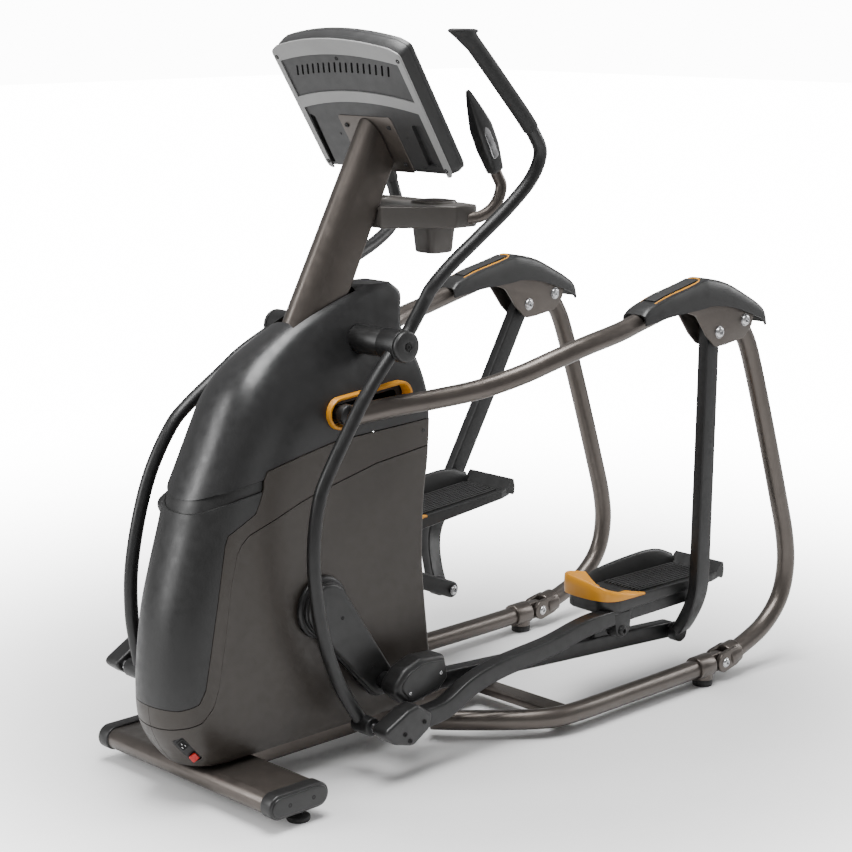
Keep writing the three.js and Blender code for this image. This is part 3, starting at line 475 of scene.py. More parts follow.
# ---------------------------------------------------------------- housing
LOWER_LEVELS = [(90, -944, 92, -240), (107, -959, 102, -240), (140, -982, 110, -240), (190, -1003, 114, -241),
                (260, -1008, 114, -248), (350, -1001, 114, -258), (450, -985, 114, -266),
                (540, -960, 114, -265),
                (620, -935, 114, -260), (700, -910, 114, -248), (830, -850, 114, -240)]
UPPER_LEVELS = [(680, -918, 113, -240), (760, -878, 111, -240), (840, -838, 110, -242),
                (890, -814, 105, -250),
                (940, -780, 92, -262), (980, -735, 77, -275), (1020, -668, 67, -290), (1060, -588, 61, -286),
                (1100, -480, 55, -282), (1124, -400, 46, -308)]
WALL = 4


def between(levels, z):
    """Level at height z, smoothly interpolated."""
    i = max(k for k in range(len(levels) - 1) if z >= levels[k][0] or k == 0)
    a, b = levels[i], levels[i + 1]
    t = (z - a[0]) / (b[0] - a[0])

    def slope(k, c):
        k0, k1 = max(k - 1, 0), min(k + 1, len(levels) - 1)
        return (levels[k1][c] - levels[k0][c]) / (levels[k1][0] - levels[k0][0])

    h = b[0] - a[0]
    out = [z]
    for c in (1, 2, 3):
        out.append((2 * t ** 3 - 3 * t * t + 1) * a[c] + (t ** 3 - 2 * t * t + t) * h * slope(i, c)
                   + (3 * t * t - 2 * t ** 3) * b[c] + (t ** 3 - t * t) * h * slope(i + 1, c))
    return out


def bow(a, b, c, steps):
    """Points of a quadratic curve, without its end."""
    return [tuple(a[i] * (1 - t) ** 2 + b[i] * 2 * t * (1 - t) + c[i] * t * t for i in (0, 1))
            for t in (k / steps for k in range(steps))]


def housing_ring(level, cut_in, crease):
    """Plan ring: straight sides, a nose with a soft crease each side, rounded rear corners."""
    z, front, half, rear = level
    w, f, r = half - cut_in, front + cut_in, rear - cut_in
    depth = min(84, 0.6 * (r - f))
    cx, cy = w * crease(z)[0], f + depth * crease(z)[1]
    right_half = bow((0, f), (cx * 0.62, f), (cx, cy), 9)
    right_half += bow((cx, cy), (w, cy + (depth * 1.3 - (cy - f)) * 0.28), (w, f + depth * 1.3), 9)
    straight = [(w, f + depth * 1.3 + (r - 14 - f - depth * 1.3) * k / 6) for k in range(6)]
    corner = bow((w, r - 14), (w, r), (w - 14, r), 5) + [(w - 14, r)]
    half_ring = right_half + straight + corner
    ring = half_ring + [(-x, y) for x, y in reversed(half_ring[1:])]
    return [Vector((x, y, z)) for x, y in ring]


def housing(levels, heights, cut_in, crease):
    return skin([housing_ring(between(levels, z), cut_in, crease) for z in heights])


def span(low, high, count):
    return [low + (high - low) * k / count for k in range(count + 1)]


def lower_crease(z):
    return (0.80, 0.40)


def upper_crease(z):
    t = max(0.0, min(1.0, (z - 700) / 250))
    return (0.84 - 0.20 * t, 0.42 - 0.22 * t)


def seam(drop=0.0):
    """Lower edge of the shroud, lower in front, moved down by a distance."""
    return [(y, z - drop) for y, z in ((-1100, 690), (-915, 692), (-875, 711), (-824, 723), (-757, 731),
                                       (-747, 749),
                                       (-652, 768), (-540, 788), (-180, 802))]


COVER_EDGE = [(-985, 238), (-948, 252), (-932, 282), (-910, 395), (-886, 516), (-870, 597), (-861, 621),
              (-839, 632),
              (-784, 658), (-771, 684), (-759, 713)]
SIDE_LINE = [(-150, 742), (-237, 736), (-420, 716), (-602, 676), (-655, 661), (-729, 635), (-804, 612),
             (-826, 594),
             (-838, 575), (-856, 510), (-876, 387), (-898, 276), (-912, 240), (-942, 208), (-1010, 186),
             (-1100, 180)]
LINE_GAP = 1.3


def shell(levels, heights, inner_heights, crease, outer_inset=0.0):
    outer = housing(levels, heights, outer_inset, crease)
    inner = housing(levels, inner_heights, WALL + outer_inset, crease)
    return cut_out(outer, inner)


def region(outline, x0=-220, x1=220):
    return skin([[Vector((x, p[0], p[1])) for p in outline] for x in (x0, x1)])


low_heights = span(90, 828, 62)
low_inner = [70] + low_heights[1:] + [829]
cover_region = fillet([(-1100, 238, 0)] + [(y - LINE_GAP * 0.6, z + LINE_GAP * 0.6, 14)
                                           for y, z in COVER_EDGE]
                      + [(-757 - LINE_GAP, 900, 0), (-1100, 900, 0)], 1, 6)
below = seam(26) + [(-180, 0), (-1100, 0)]
below_seam = seam(1.6) + [(-180, 0), (-1100, 0)]
band = seam(1.6) + seam(27.2)[::-1]


def lower_shell(outer_inset=0.0):
    return shell(LOWER_LEVELS, low_heights, low_inner, lower_crease, outer_inset)


cover = common_to(lower_shell(), region(cover_region))
cover = common_to(cover, region(below))
neck = common_to(lower_shell(5.0), region(cover_region))
neck = common_to(neck, region(band))
put("nose_cover", merge(cover, neck), "black_plastic", "base", ["front_cover"], angle=28)

trim_region = fillet([(-1100, 237 - LINE_GAP, 0)]
                     + [(y + LINE_GAP * 0.6, z - LINE_GAP * 0.6, 14) for y, z in COVER_EDGE]
                     + [(-757, 900, 0), (-100, 900, 0)] + [(y, z + LINE_GAP, 18) for y, z in SIDE_LINE], 1, 6)
side_region = fillet([(y, z - LINE_GAP, 18) for y, z in SIDE_LINE] + [(-1100, 0, 0), (-100, 0, 0)], 0, 6)
INLET_TURN = (Matrix.Rotation(radians(60.6), 4, "Z") @ Matrix.Rotation(radians(-38.4), 4, "Y")
              @ Matrix.Rotation(radians(6), 4, "X"))


def on_inlet(bm):
    """Carries a piece drawn upright, facing -Y, into the flank of the nose."""
    for vert in bm.verts:
        vert.co = INLET_TURN @ vert.co + Vector((69.5, -956, 140))
    return bm


axle_hole = plate(circle(CRANK_AXIS, 34, 40), -220, 220, 0.5)
for name, side in SIDES:
    half = skin([[Vector((x, y, z)) for x, y in ((0.5, -1100), (200, -1100), (200, -100), (0.5, -100))]
                 for z in (0, 900)])
    body = common_to(lower_shell(), half)
    trim = common_to(common_to(body.copy(), region(trim_region)), region(below_seam))
    side_cover = cut_out(common_to(body, region(side_region)), axle_hole.copy())
    if side > 0:
        side_cover = cut_out(side_cover, on_inlet(plate(rectangle(26, 76, 5), -60, 16, 0.5, "y")))
    put(f"{name}_trim_band", trim, "panel_plastic", "base", [f"{name}_side_panel"], side, angle=28)
    put(f"{name}_side_cover", side_cover, "panel_plastic", "base", side=side, angle=28)
    put(f"{name}_panel_screw", screw((113.8, -268, 772), (1, 0, 0), 6.0), "black_plastic", "base", side=side)
axle_hole.free()

up_heights = span(682, 1124, 46)
shroud = shell(UPPER_LEVELS, up_heights, [662] + up_heights[1:-1] + [1120], upper_crease)
above = seam() + [(-180, 1400), (-1100, 1400)]
shroud = common_to(shroud, region(above))
mast_hole = fillet([(-652, 958), (-372, 1475), (-285, 1384), (-478, 975)], 8)
shroud = cut_out(shroud, region(mast_hole, -38, 38))
slot_hole = stadium(SLOT_FRONT, SLOT_REAR, 38)
shroud = cut_out(shroud, region(slot_hole))
shroud = cut_out(shroud, plate(circle(HANDLE_TOP, 30), -220, 220, 0.5))
put("shroud_cover", shroud, "shroud_plastic", "base", ["upper_shroud"], angle=28)

for name, side in SIDES:
    outer = stadium(SLOT_FRONT, SLOT_REAR, 37.5, steps=20)
    hole = stadium(SLOT_FRONT, SLOT_REAR, 29.5, steps=20)
    rows = [(outer, 90), (outer, 119), (inset(outer, 2.0), 121.6), (inset(hole, -2.0), 121.6), (hole, 119),
            (hole, 90), (outer, 90)]
    ring = skin([[Vector((x, p[0], p[1])) for p in outline] for outline, x in rows], caps=False)
    bmesh.ops.remove_doubles(ring, verts=ring.verts[:], dist=0.001)
    put(f"{name}_slot_surround", ring, "yellow_plastic", "base", [f"{name}_slot_ring"], side)
    # Seal: a dark lip round the slot, open along the whole run of the rail's shaft.
    back = plate(stadium(SLOT_FRONT, SLOT_REAR, 33, steps=16), 84, 87, 0.5)
    gate = plate(stadium(SLOT_FRONT, SLOT_REAR, 13), 80, 92, 0.3)
    put(f"{name}_slot_seal", cut_out(back, gate), "rubber", "base", side=side)

# ---------------------------------------------------------------- power inlet
inlet = merge(on_inlet(plate(rectangle(24, 74, 3), 0, 12, 1.2, "y")),
              on_inlet(plate([(x, z + 16) for x, z in rectangle(20, 28, 5)], -2.4, 1, 1.0, "y")))
put("inlet_plate", inlet, "black_plastic", "base", ["power_inlet"])
# A thin near-black sheet laid on the inlet's face stands in for the socket's hollow: painted shade, not a modelled
# hole.
socket = on_inlet(plate([(x, z + 16) for x, z in rectangle(15, 22, 3)], -2.9, -1.4, 0.4, "y"))
put("inlet_socket", socket, "black_plastic", "base", material=PAINTED_RECESS_SHADE)
blades = [on_inlet(plate([(x + dx, z + dz) for x, z in rectangle(1.6, 4.6, 0.4)], -5, -2, 0.3, "y"))
          for dx, dz in ((0, 21), (-3.6, 13), (3.6, 13))]
put("inlet_blades", merge(*blades), "bright_steel", "base")
rocker = on_inlet(plate([(x, z - 24) for x, z in rectangle(18, 18, 3)], -7.6, -1.6, 2.0, "y"))
put("rocker_key", rocker, "red_plastic", "switch_rocker", ["power_switch"])

# ---------------------------------------------------------------- mast, tray, fixed grips
def mast_ring(z):
    """Level section of the mast: rounded in front, squarer behind."""
    front, rear = -633 + (z - 985) * 0.5424, -486 + (z - 985) * 0.4935
    ring = [(35 * sin(a), front + 46 * (1 - cos(a))) for a in span(-pi / 2, pi / 2, 20)]
    ring += bow((35, rear - 12), (35, rear), (23, rear), 4) + bow((-23, rear), (-35, rear), (-35, rear - 12),
            4) + [(-35, rear - 12)]
    return [Vector((x, y, z)) for x, y in ring]


mast = skin([mast_ring(z) for z in span(985, 1550, 12)])
mast_top = region([(-383, 1554.6), (-252.4, 1343.3), (-252.4, 900), (-800, 900), (-800, 1554.6)], -60, 60)
put("mast_post", common_to(mast, mast_top), "bronze_paint", "base", ["mast"], angle=28)

FIXED_HALF = [(84, -266, 1268), (116, -240, 1268), (132, -202, 1268), (150, -174, 1269), (186, -148, 1278),
              (205, -122, 1305), (209, -108, 1345), (206, -122, 1378), (204, -160, 1460), (202, -205, 1556)]
visible_half = FIXED_HALF[:-2] + [(204.6, -150, 1437)]  # its end is inside the grip
fixed_path = [(-x, y, z) for x, y, z in reversed(visible_half)] + [(0, -268, 1268)] + visible_half
put("fixed_grip_bar", tube(fixed_path, 14, 8, 28), "bronze_paint", "base", ["fixed_handlebar"])
for name, side in SIDES:
    grip_path = [(205.8, -124, 1382), (204.8, -148, 1436), (203.4, -176, 1496), (202, -213, 1570)]
    grip = sweep(grip_path, rectangle(36, 44, 10, 6), side_axis=(1, 0, 0), per_span=8, ends=3,
                 scale=lambda t: (0.80 + 0.30 * min(1, t / 0.35))
                 * (1 - 0.80 * max(0, (t - 0.60) / 0.40) ** 1.3))
    put(f"{name}_pulse_grip", grip, "black_plastic", "base", side=side)
    along = Vector((-0.025, -0.455, 0.89)).normalized()
    for label, across in (("inner", Vector((-1, 0, 0))), ("outer", Vector((1, 0, 0)))):
        centre = Vector((204.2, -158, 1452)) + across * 16.4
        beside = across.cross(along).normalized()
        rim = fillet([(-42, -10, 10), (26, -10, 10), (42, 0, 8), (26, 10, 10), (-42, 10, 10)], 8, 6)
        rows = [[centre + along * p.x + beside * p.y + across * h for p in inset(rim, cut)]
                for cut, h in ((0, 0), (0, 3.0), (1.0, 4.0), (3.2, 4.2))]
        put(f"{name}_pulse_plate_{label}", skin(rows), "bright_steel", "base", side=side)

tray_top = fillet([(-168, -142, 14), (-168, -212, 10), (-46, -340, 8), (46, -340, 8), (168, -212, 10),
                   (168, -142, 14), (110, -132, 20), (-110, -132, 20)], 8)
tray = plate(tray_top, 1251, 1303, 5, "z")
CUP_X, CUP_Y = 68, -190
for tool in (plate([(x + CUP_X, y + CUP_Y) for x, y in rectangle(84, 84, 26, 6)], 1240, 1330, 1, "z"),
             plate([(x - 76, y - 186) for x, y in rectangle(128, 66, 16, 6)], 1296, 1330, 3, "z")):
    tray = cut_out(tray, tool)
neck_block = plate(fillet([(-44, -352, 4), (44, -352, 4), (44, -296, 8), (-44, -296, 8)], 4), 1253, 1301, 4,
                   "z")
mast_room = region([(-800, 985), (-485, 985), (-181.5, 1600), (-800, 1600)], -35.6, 35.6)
tray = merge(cut_out(tray, mast_room.copy()), cut_out(neck_block, mast_room))
put("tray_top", tray, "console_plastic", "base", ["accessory_tray"], material=TRAY_PLASTIC)
rows = []
for z, grow, r in ((1186, -13, 20), (1188, -9, 24), (1192, -7.5, 26), (1230, -4, 28), (1264, 0, 30),
                   (1306, 1.6, 32),
                   (1309, 0, 31), (1308, -2, 30), (1264, -4, 27), (1230, -8, 24), (1193, -11.5, 20),
                   (1190, -14, 17)):
    rows.append([Vector((x + CUP_X, y + CUP_Y, z)) for x, y in rectangle(90 + 2 * grow, 90 + 2 * grow, r, 8)])
put("cup_holder", skin(rows), "console_plastic", "base", material=TRAY_PLASTIC)

# ---------------------------------------------------------------- console
TILT = radians(31.8)
FOOT = (-269, 1372)
UP = Vector((0, -sin(TILT), cos(TILT)))
OUT = Vector((0, cos(TILT), sin(TILT)))  # towards the user
CONSOLE_W, CONSOLE_H = 440, 342


def console_point(u, v, w):
    return Vector((u, FOOT[0], FOOT[1])) + UP * v + OUT * w


def console_outline(cut_in, arch=30.0):
    """Arched outline of the console in its own plane."""
    w, h = CONSOLE_W / 2 - cut_in, CONSOLE_H - cut_in
    corners = [(-w * 0.955, cut_in, 12), (w * 0.955, cut_in, 12), (w * 0.985, cut_in + 16, 10),
               (w, h - 8, 16)]
    top = [(w * (1 - k / 8), h + arch * (1 - (1 - k / 8) ** 2), 0) for k in range(1, 16)]
    return fillet(corners + top + [(-w, h - 8, 16), (-w * 0.985, cut_in + 16, 10)], 6, 5)


def console_slab(outline, low, high, edge):
    rows = []
    for k in range(4):
        a = pi / 2 * k / 3
        rows.append([console_point(p.x, p.y, low + edge * (1 - cos(a)))
                     for p in inset(outline, edge * (1 - sin(a)))])
    for k in range(4):
        a = pi / 2 * k / 3
        rows.append([console_point(p.x, p.y, high - edge * (1 - sin(a)))
                     for p in inset(outline, edge * (1 - cos(a)))])
    return skin(rows)


def console_plate(points, low, high, radius=4.0, edge=1.0):
    return console_slab([Vector(p) for p in fillet(points, radius, 5)], low, high, edge)


back_rows = []
for cut_in, w in ((22, 3.0), (13, 3.4), (9, 4.6), (4, 14), (1.2, 24), (0.2, 30), (0.0, 33.4)):
    back_rows.append([console_point(p.x, p.y, w) for p in console_outline(cut_in)])
back_shell = skin(back_rows)
VENT_LEAN = 0.476
slots = []
for k in range(17):
    u = -158 + k * 314 / 16
    v = 283 + 9 * (1 - (u / 150) ** 2) + 0.02 * u
    low, high = u - 14 * VENT_LEAN, u + 14 * VENT_LEAN
    slots.append(console_plate([(low - 3.2, v - 14), (low + 3.2, v - 14), (high + 3.2, v + 14),
                                (high - 3.2, v + 14)], -6, 18, 2.0, 0.5))
back_shell = cut_out(back_shell, merge(*slots))
for pocket in (console_plate([(146, 30), (178, 30), (182, 142), (150, 142)], -6, 14, 5, 0.5),
               console_plate([(-196, 18), (-182, 18), (-176, 150), (-192, 158)], -6, 12, 4, 0.5)):
    back_shell = cut_out(back_shell, pocket)
put("console_back", back_shell, "console_plastic", "base", ["console_shell"], angle=30)
front_ring = console_slab(console_outline(0.4), 34.2, 47.4, 2.0)
put("console_bezel", front_ring, "console_plastic", "base", angle=30)
put("console_glass", console_slab(console_outline(7.0, 29), 45.0, 51.5, 2.0), "display_glass", "base",
    ["console_display"])
put("screen_area", console_plate([(-176, 92), (176, 92), (176, 316), (-176, 316)], 50.0, 52.3, 6, 0.6),
    "display_glass", "base",
    material=SCREEN_LIT)


def arched(u0, u1, v_low, v_high, arch, steps=14):
    """Band outline that follows the console's arch."""
    def lift(u):
        return arch * (1 - (2 * u / CONSOLE_W) ** 2)
    top = [(u1 + (u0 - u1) * k / steps, 0) for k in range(steps + 1)]
    bottom = [(u0 + (u1 - u0) * k / steps, 0) for k in range(steps + 1)]
    return [Vector((u, v_low + lift(u))) for u, _ in bottom] + [Vector((u, v_high + lift(u))) for u, _ in top]


border = console_slab(console_outline(1.6), 0.0, 5.0, 2.2)
for field in (arched(-200, 200, 201, 301, 28), arched(-196, 196, -60, 170, 30)):
    border = cut_out(border, console_slab(field, -8, 20, 0.5))
put("console_border", border, "console_plastic", "base", material=CONSOLE_BAND, angle=30)
for name, side in SIDES:
    # The console screws carry the painted recess shade.
    marks = merge(*[turned(console_point(u, v, 0.2), -OUT,
                           [(5.5, -1), (5.5, 0.6), (4.6, 1.2), (2.6, 1.2), (2.4, -0.6), (0.3, -0.6)],
                           20, hexagon=(4,)) for u, v in ((206, 316), (202, 22))])
    put(f"{name}_console_screws", marks, "black_plastic", "base", side=side, material=PAINTED_RECESS_SHADE)
# The top screw carries the painted recess shade.
top_screw = turned(console_point(0, 316, 3.0), -OUT,
                   [(5, -1), (5, 0.6), (4, 1.0), (2.4, 1.0), (2.2, -0.6), (0.3, -0.6)], 20)
put("console_top_screw", top_screw, "black_plastic", "base", material=PAINTED_RECESS_SHADE)

plate_points = [(-90, 6, 6), (90, 6, 6), (90, 160, 10), (-90, 160, 10)]
put("console_mount_plate", console_plate(plate_points, 1.4, 3.8, 6, 0.8), "bronze_paint", "base")
bolts = merge(*[button_bolt(console_point(u, v, 1.5), -OUT, 5.6, 3.0) for u in (-72, 72) for v in (30, 132)])
put("console_plate_bolts", bolts, "black_plastic", "base")
small = merge(*[turned(console_point(u, v, 3.0), -OUT, [(3, -1), (3, 0.8), (2.2, 1.2), (0.3, 1.2)], 14)
                for u, v in ((-112, 104), (116, 104), (132, 24))])
put("console_back_screws", small, "black_plastic", "base")
side_port = console_plate([(0, 36), (9, 36), (9, 96), (0, 96)], 10, 34, 3, 1.0)
bmesh.ops.translate(side_port, verts=side_port.verts[:], vec=(203, 0, 0))
put("console_side_pad", side_port, "console_plastic", "base")
for k in range(5):
    key = console_plate([(-150 + 64 * k, 40), (-106 + 64 * k, 40), (-106 + 64 * k, 66), (-150 + 64 * k, 66)],
                        50.5, 54, 6, 1.4)
    put(f"console_key_{k + 1}", key, "console_plastic", "base", material=GREY_MARK if k == 2 else None)

# ---------------------------------------------------------------- running gear, both sides
PEDAL_MIRROR = 416  # the raised wall is towards -X on both pedals

for name, side in SIDES:
    def add(label, bm, slot, body, *nodes, move=None, angle=38.0, material=None, same_hand=False):
        if same_hand and side < 0:
            for vert in bm.verts:
                vert.co.x = PEDAL_MIRROR - vert.co.x
        return put(f"{name}_{label}", bm, slot, f"{name}_{body}" if body else "crankset",
                   [f"{name}_{n}" for n in nodes], side, move, material, angle)

    # Hoop leg with its split clamp.
    hoop_path = [(330, 640, 58), (330, 700, 70), (330, 800, 108), (330, 868, 170), (330, 893, 250),
                 (330, 885, 340),
                 (330, 845, 470), (330, 770, 690), (330, 705, 865), (330, 672, 925), (330, 652, 944)]
    add("hoop_tube", tube(hoop_path, 24, 10, 32), "bronze_paint", "hoop_frame", "hoop")
    ears = merge(*[plate(stadium(HOOP_LOW, (650, 60), 27, 26), x0, x1, 3)
                   for x0, x1 in ((303, 317), (343, 357))])
    clamp = turned((330, 634, 57), (0, 0.985, 0.17), round_off([(16, 0), (32, 0, 4), (32, 44, 5), (24, 47)]),
                   40)
    eye = plate(stadium((660, 935), HOOP_TOP, 20, 21), 317, 343, 3)
    add("hoop_fittings", merge(ears, clamp, eye), "bronze_paint", "hoop_frame")
    add("hoop_low_bolt", merge(button_bolt((357, *HOOP_LOW), (1, 0, 0), 11.5, 7),
                               button_bolt((303, *HOOP_LOW), (-1, 0, 0), 11.5, 6)),
        "bright_steel", "hoop_frame")

    # Rail, its bracket and the grip cover.
    rail_path = [(152, -532, 850), (176, -420, 860), (208, -320, 868), (246, -212, 882), (278, -110, 906),
                 (304, -20, 935),
                 (322, 70, 960), (330, 180, 981), (330, 262, 1000), (330, 330, 1015), (330, 400, 1031)]
    add("rail_tube", tube(rail_path, 24, 10, 32), "bronze_paint", "rail_frame", "rail")
    boot = turned((98, -532, 850), (1, 0, 0), round_off([(8, 0), (20, 0, 3), (20, 26, 2), (25, 30, 3),
            (25, 50, 3), (14, 54)]), 32)
    add("rail_boot", boot, "black_plastic", "rail_frame")
    cheek = fillet([(404, 1008, 4), (404, 1056, 4), (470, 1073, 20), (500, 1073, 20), (562, 1056, 20),
                    (660, 1010, 24),
                    (676, 984, 24), (668, 950, 24), (636, 920, 28), (560, 910, 36), (520, 908, 30),
                    (484, 940, 30),
                    (440, 996, 30)], 10, 6)
    roof = fillet([(404, 1050), (404, 1056), (470, 1073), (500, 1073), (562, 1056), (660, 1010), (652, 1006),
                   (560, 1050),
                   (500, 1067), (470, 1067)], 2)
    cheeks = merge(plate(cheek, 356, 362, 1.5), plate(cheek, 298, 304, 1.5), plate(roof, 303, 357, 1.0))
    add("bracket_cheeks", cheeks, "bronze_paint", "rail_frame", "rail_bracket")
    add("hoop_top_bolt", merge(button_bolt((362, *HOOP_TOP), (1, 0, 0), 14.5, 9),
                               button_bolt((298, *HOOP_TOP), (-1, 0, 0), 14.5, 7)),
        "bright_steel", "rail_frame")
    top_line = [(238, 1020), (262, 1036), (330, 1056), (400, 1070), (464, 1084), (492, 1086), (567, 1068),
                (640, 1034),
                (692, 1006), (718, 984), (727, 950)]
    low_line = [(240, 994), (264, 997), (340, 1006), (410, 1010), (464, 1013), (500, 1016), (574, 1006),
                (640, 985),
                (684, 970), (704, 960), (716, 944)]
    fine_top = smooth_path([(0, *p) for p in top_line], 4)
    fine_low = smooth_path([(0, *p) for p in low_line], 4)

    def hood(half, drop, flare):
        """Rows of the cover: an inverted U section, wider at the skirt."""
        rows = []
        for p, q in zip(fine_top, fine_low):
            crown, skirt = Vector((p.y, p.z)), Vector((q.y, q.z))
            lean = (skirt - crown)
            row = []
            for k in range(25):
                a = pi * k / 24
                x = half * copysign(abs(cos(a)) ** 0.34, cos(a))
                fall = 1 - sin(a) ** 0.42
                edge = crown + lean * (drop + (1 - drop) * fall)
                row.append(Vector((330 + x * (1 + flare * fall), edge.x, edge.y)))
            rows.append(row)
        return rows

    outer, inner = hood(37.0, 0.0, 0.03), hood(33.5, 0.09, 0.03)
    rings = [o + list(reversed(i)) for o, i in zip(outer, inner)]
    add("grip_hood", skin(rings), "black_plastic", "rail_frame", "grip_cover", angle=50)
    pad_path = [(330, 292, 1047), (330, 330, 1057.5), (330, 400, 1072), (330, 456, 1084.5)]
    add("grip_pad", sweep(pad_path, rectangle(38, 3.4, 1.6, 3), side_axis=(1, 0, 0), ends=2), "rubber",
        "rail_frame")
    half_line = [(24, 286, 1041.4), (24, 330, 1054.4), (24, 400, 1068.6), (23, 448, 1078.6),
                 (16, 466, 1083.4)]
    line = ([(330 + x, y, z) for x, y, z in half_line] + [(330, 470, 1085.6)]
            + [(330 - x, y, z) for x, y, z in reversed(half_line)])
    add("grip_line", tube(line, 2.3, 6, 10, 1), "yellow_plastic", "rail_frame")

    # Swing arm.
    swing_path = [(330, 532, 962), (330, 531, 900), (330, 529, 760), (330, 524, 520), (330, 520, 330),
                  (327, 520, 270),
                  (310, 524, 220), (282, 530, 172), (260, 535, 142)]
    arm = sweep(swing_path, rectangle(30, 50, 5, 4), side_axis=(1, 0, 0), per_span=10, ends=3)
    foot = turned((232, *LINK_REAR), (1, 0, 0), round_off([(14, 0), (25, 0, 3), (25, 30, 3), (14, 31)]), 40)
    add("swing_bar", merge(arm, foot), "black_paint", "swing", "swing_arm", move="swing")
    add("swing_top_bolt", merge(button_bolt((362, *SWING_TOP), (1, 0, 0), 14.5, 9),
                                button_bolt((298, *SWING_TOP), (-1, 0, 0), 14.5, 7)),
        "bright_steel", "swing_pivot", "swing_bolt")

    # Support link, its nose cover and its bolt.
    link = plate(stadium((-420, 196), LINK_REAR, 22, 22), 190, 226, 6, steps=4)
    lug = plate(fillet([(226, 150), (300, 146), (294, 206, 26), (244, 206, 26)], 8), 194, 222, 3)
    pin = turned((150, *CRANK_PIN), (1, 0, 0), round_off([(14, 0), (22, 0, 3), (22, 34)]), 40)
    add("link_beam", merge(link, lug, pin), "black_paint", "link", "support_link", move="link")
    nose = fillet([(-486, 200, 46), (-440, 246, 40), (-388, 262, 30), (-312, 256, 16), (-300, 196, 10),
                   (-330, 168, 14),
                   (-430, 152, 40)], 20, 8)
    add("link_nose", plate(nose, 178, 236, 13, steps=6), "black_plastic", "link", "link_cover", move="link")
    rib = fillet([(-462, 206, 30), (-432, 236, 26), (-386, 250, 22), (-318, 245, 8), (-310, 200, 6),
                  (-340, 180, 10),
                  (-428, 166, 26)], 16, 8)
    add("link_nose_face", plate(rib, 230, 238.5, 3.5, steps=4), "black_plastic", "link", move="link")
    add("link_nose_screws", merge(screw((238.4, -330, 214), (1, 0, 0), 4.5),
                                  screw((238.4, -430, 186), (1, 0, 0), 4.5)),
        "bright_steel", "link", move="link")
    add("link_rear_bolt", merge(button_bolt((188, *LINK_REAR), (-1, 0, 0), 12, 7),
                                turned((186, *LINK_REAR), (1, 0, 0),
        [(9, 0), (9, 70), (3, 70)], 24)), "bright_steel", "link_pivot", "link_bolt", move="link_bolt")

    # Pedal arm.
    arm_path = [(268, -500, 128), (268, -440, 133), (268, -352, 140), (268, -264, 176), (268, -158, 197),
                (268, 8, 210),
                (268, 130, 230), (268, 206, 235), (268, 330, 236), (268, 600, 238)]
    lever = sweep(arm_path, rectangle(40, 46, 7, 4), side_axis=(1, 0, 0), per_span=10, ends=3,
                  scale=lambda t: 1.0 if t < 0.75 else 1.0 - 0.22 * min(1.0, (t - 0.75) / 0.12))
    hanger = plate(fillet([(238, 246), (304, 246), (298, 186, 24), (250, 176, 24)], 6), 248, 286, 3)
    add("pedal_lever_bar", merge(lever, hanger), "black_paint", "pedal_lever", "pedal_arm", move="arm")
    toe_block = fillet([(-569, 133, 22), (-528, 98, 26), (-471, 82, 26), (-420, 112, 14), (-410, 146, 14),
                        (-454, 178, 18),
                        (-487, 171, 20)], 16, 8)
    add("toe_block", plate(toe_block, 242, 294, 8, steps=5), "black_plastic", "pedal_lever", move="arm")
    # The toe block bolts carry the painted recess shade.
    add("toe_block_bolts", merge(*[button_bolt((293.6, y, z), (1, 0, 0), 5.2, 3)
                                   for y, z in ((-500, 118), (-484, 98), (-438, 134))]),
        "black_plastic", "pedal_lever", move="arm", material=PAINTED_RECESS_SHADE)
    add("lever_front_pin", turned((226, *HANDLE_LOW), (1, 0, 0), [(8, 0), (11.5, 0.5), (11.5, 20), (6, 20)],
                                  28), "bright_steel",
        "pedal_lever", move="arm")
    add("pedal_pivot_bolt", merge(button_bolt((286, *PEDAL_PIVOT), (1, 0, 0), 13, 8),
                                  button_bolt((188, *PEDAL_PIVOT), (-1, 0, 0), 12, 7)),
        "bright_steel", "link", "pedal_bolt", move="arm_bolt", material=FINISH["black_paint"])

    # Footplate: dished deck with a raised inner wall, ribbed tread and a yellow toe cup.
    def deck_ring(grow, z_front, z_rear):
        outline = fillet([(124 - grow, 250, 40), (150, 214 - grow, 40), (262, 208 - grow, 30),
                          (292 + grow, 246, 34),
                          (294 + grow, 620, 24), (282, 668 + grow, 20), (140, 668 + grow, 24),
                          (124 - grow, 630, 24)], 20, 6)
        return [Vector((p.x, p.y, z_front + (z_rear - z_front)
                        * ((p.y - 208) / 460) ** 0.7 if p.y > 208 else z_front))
                for p in outline]

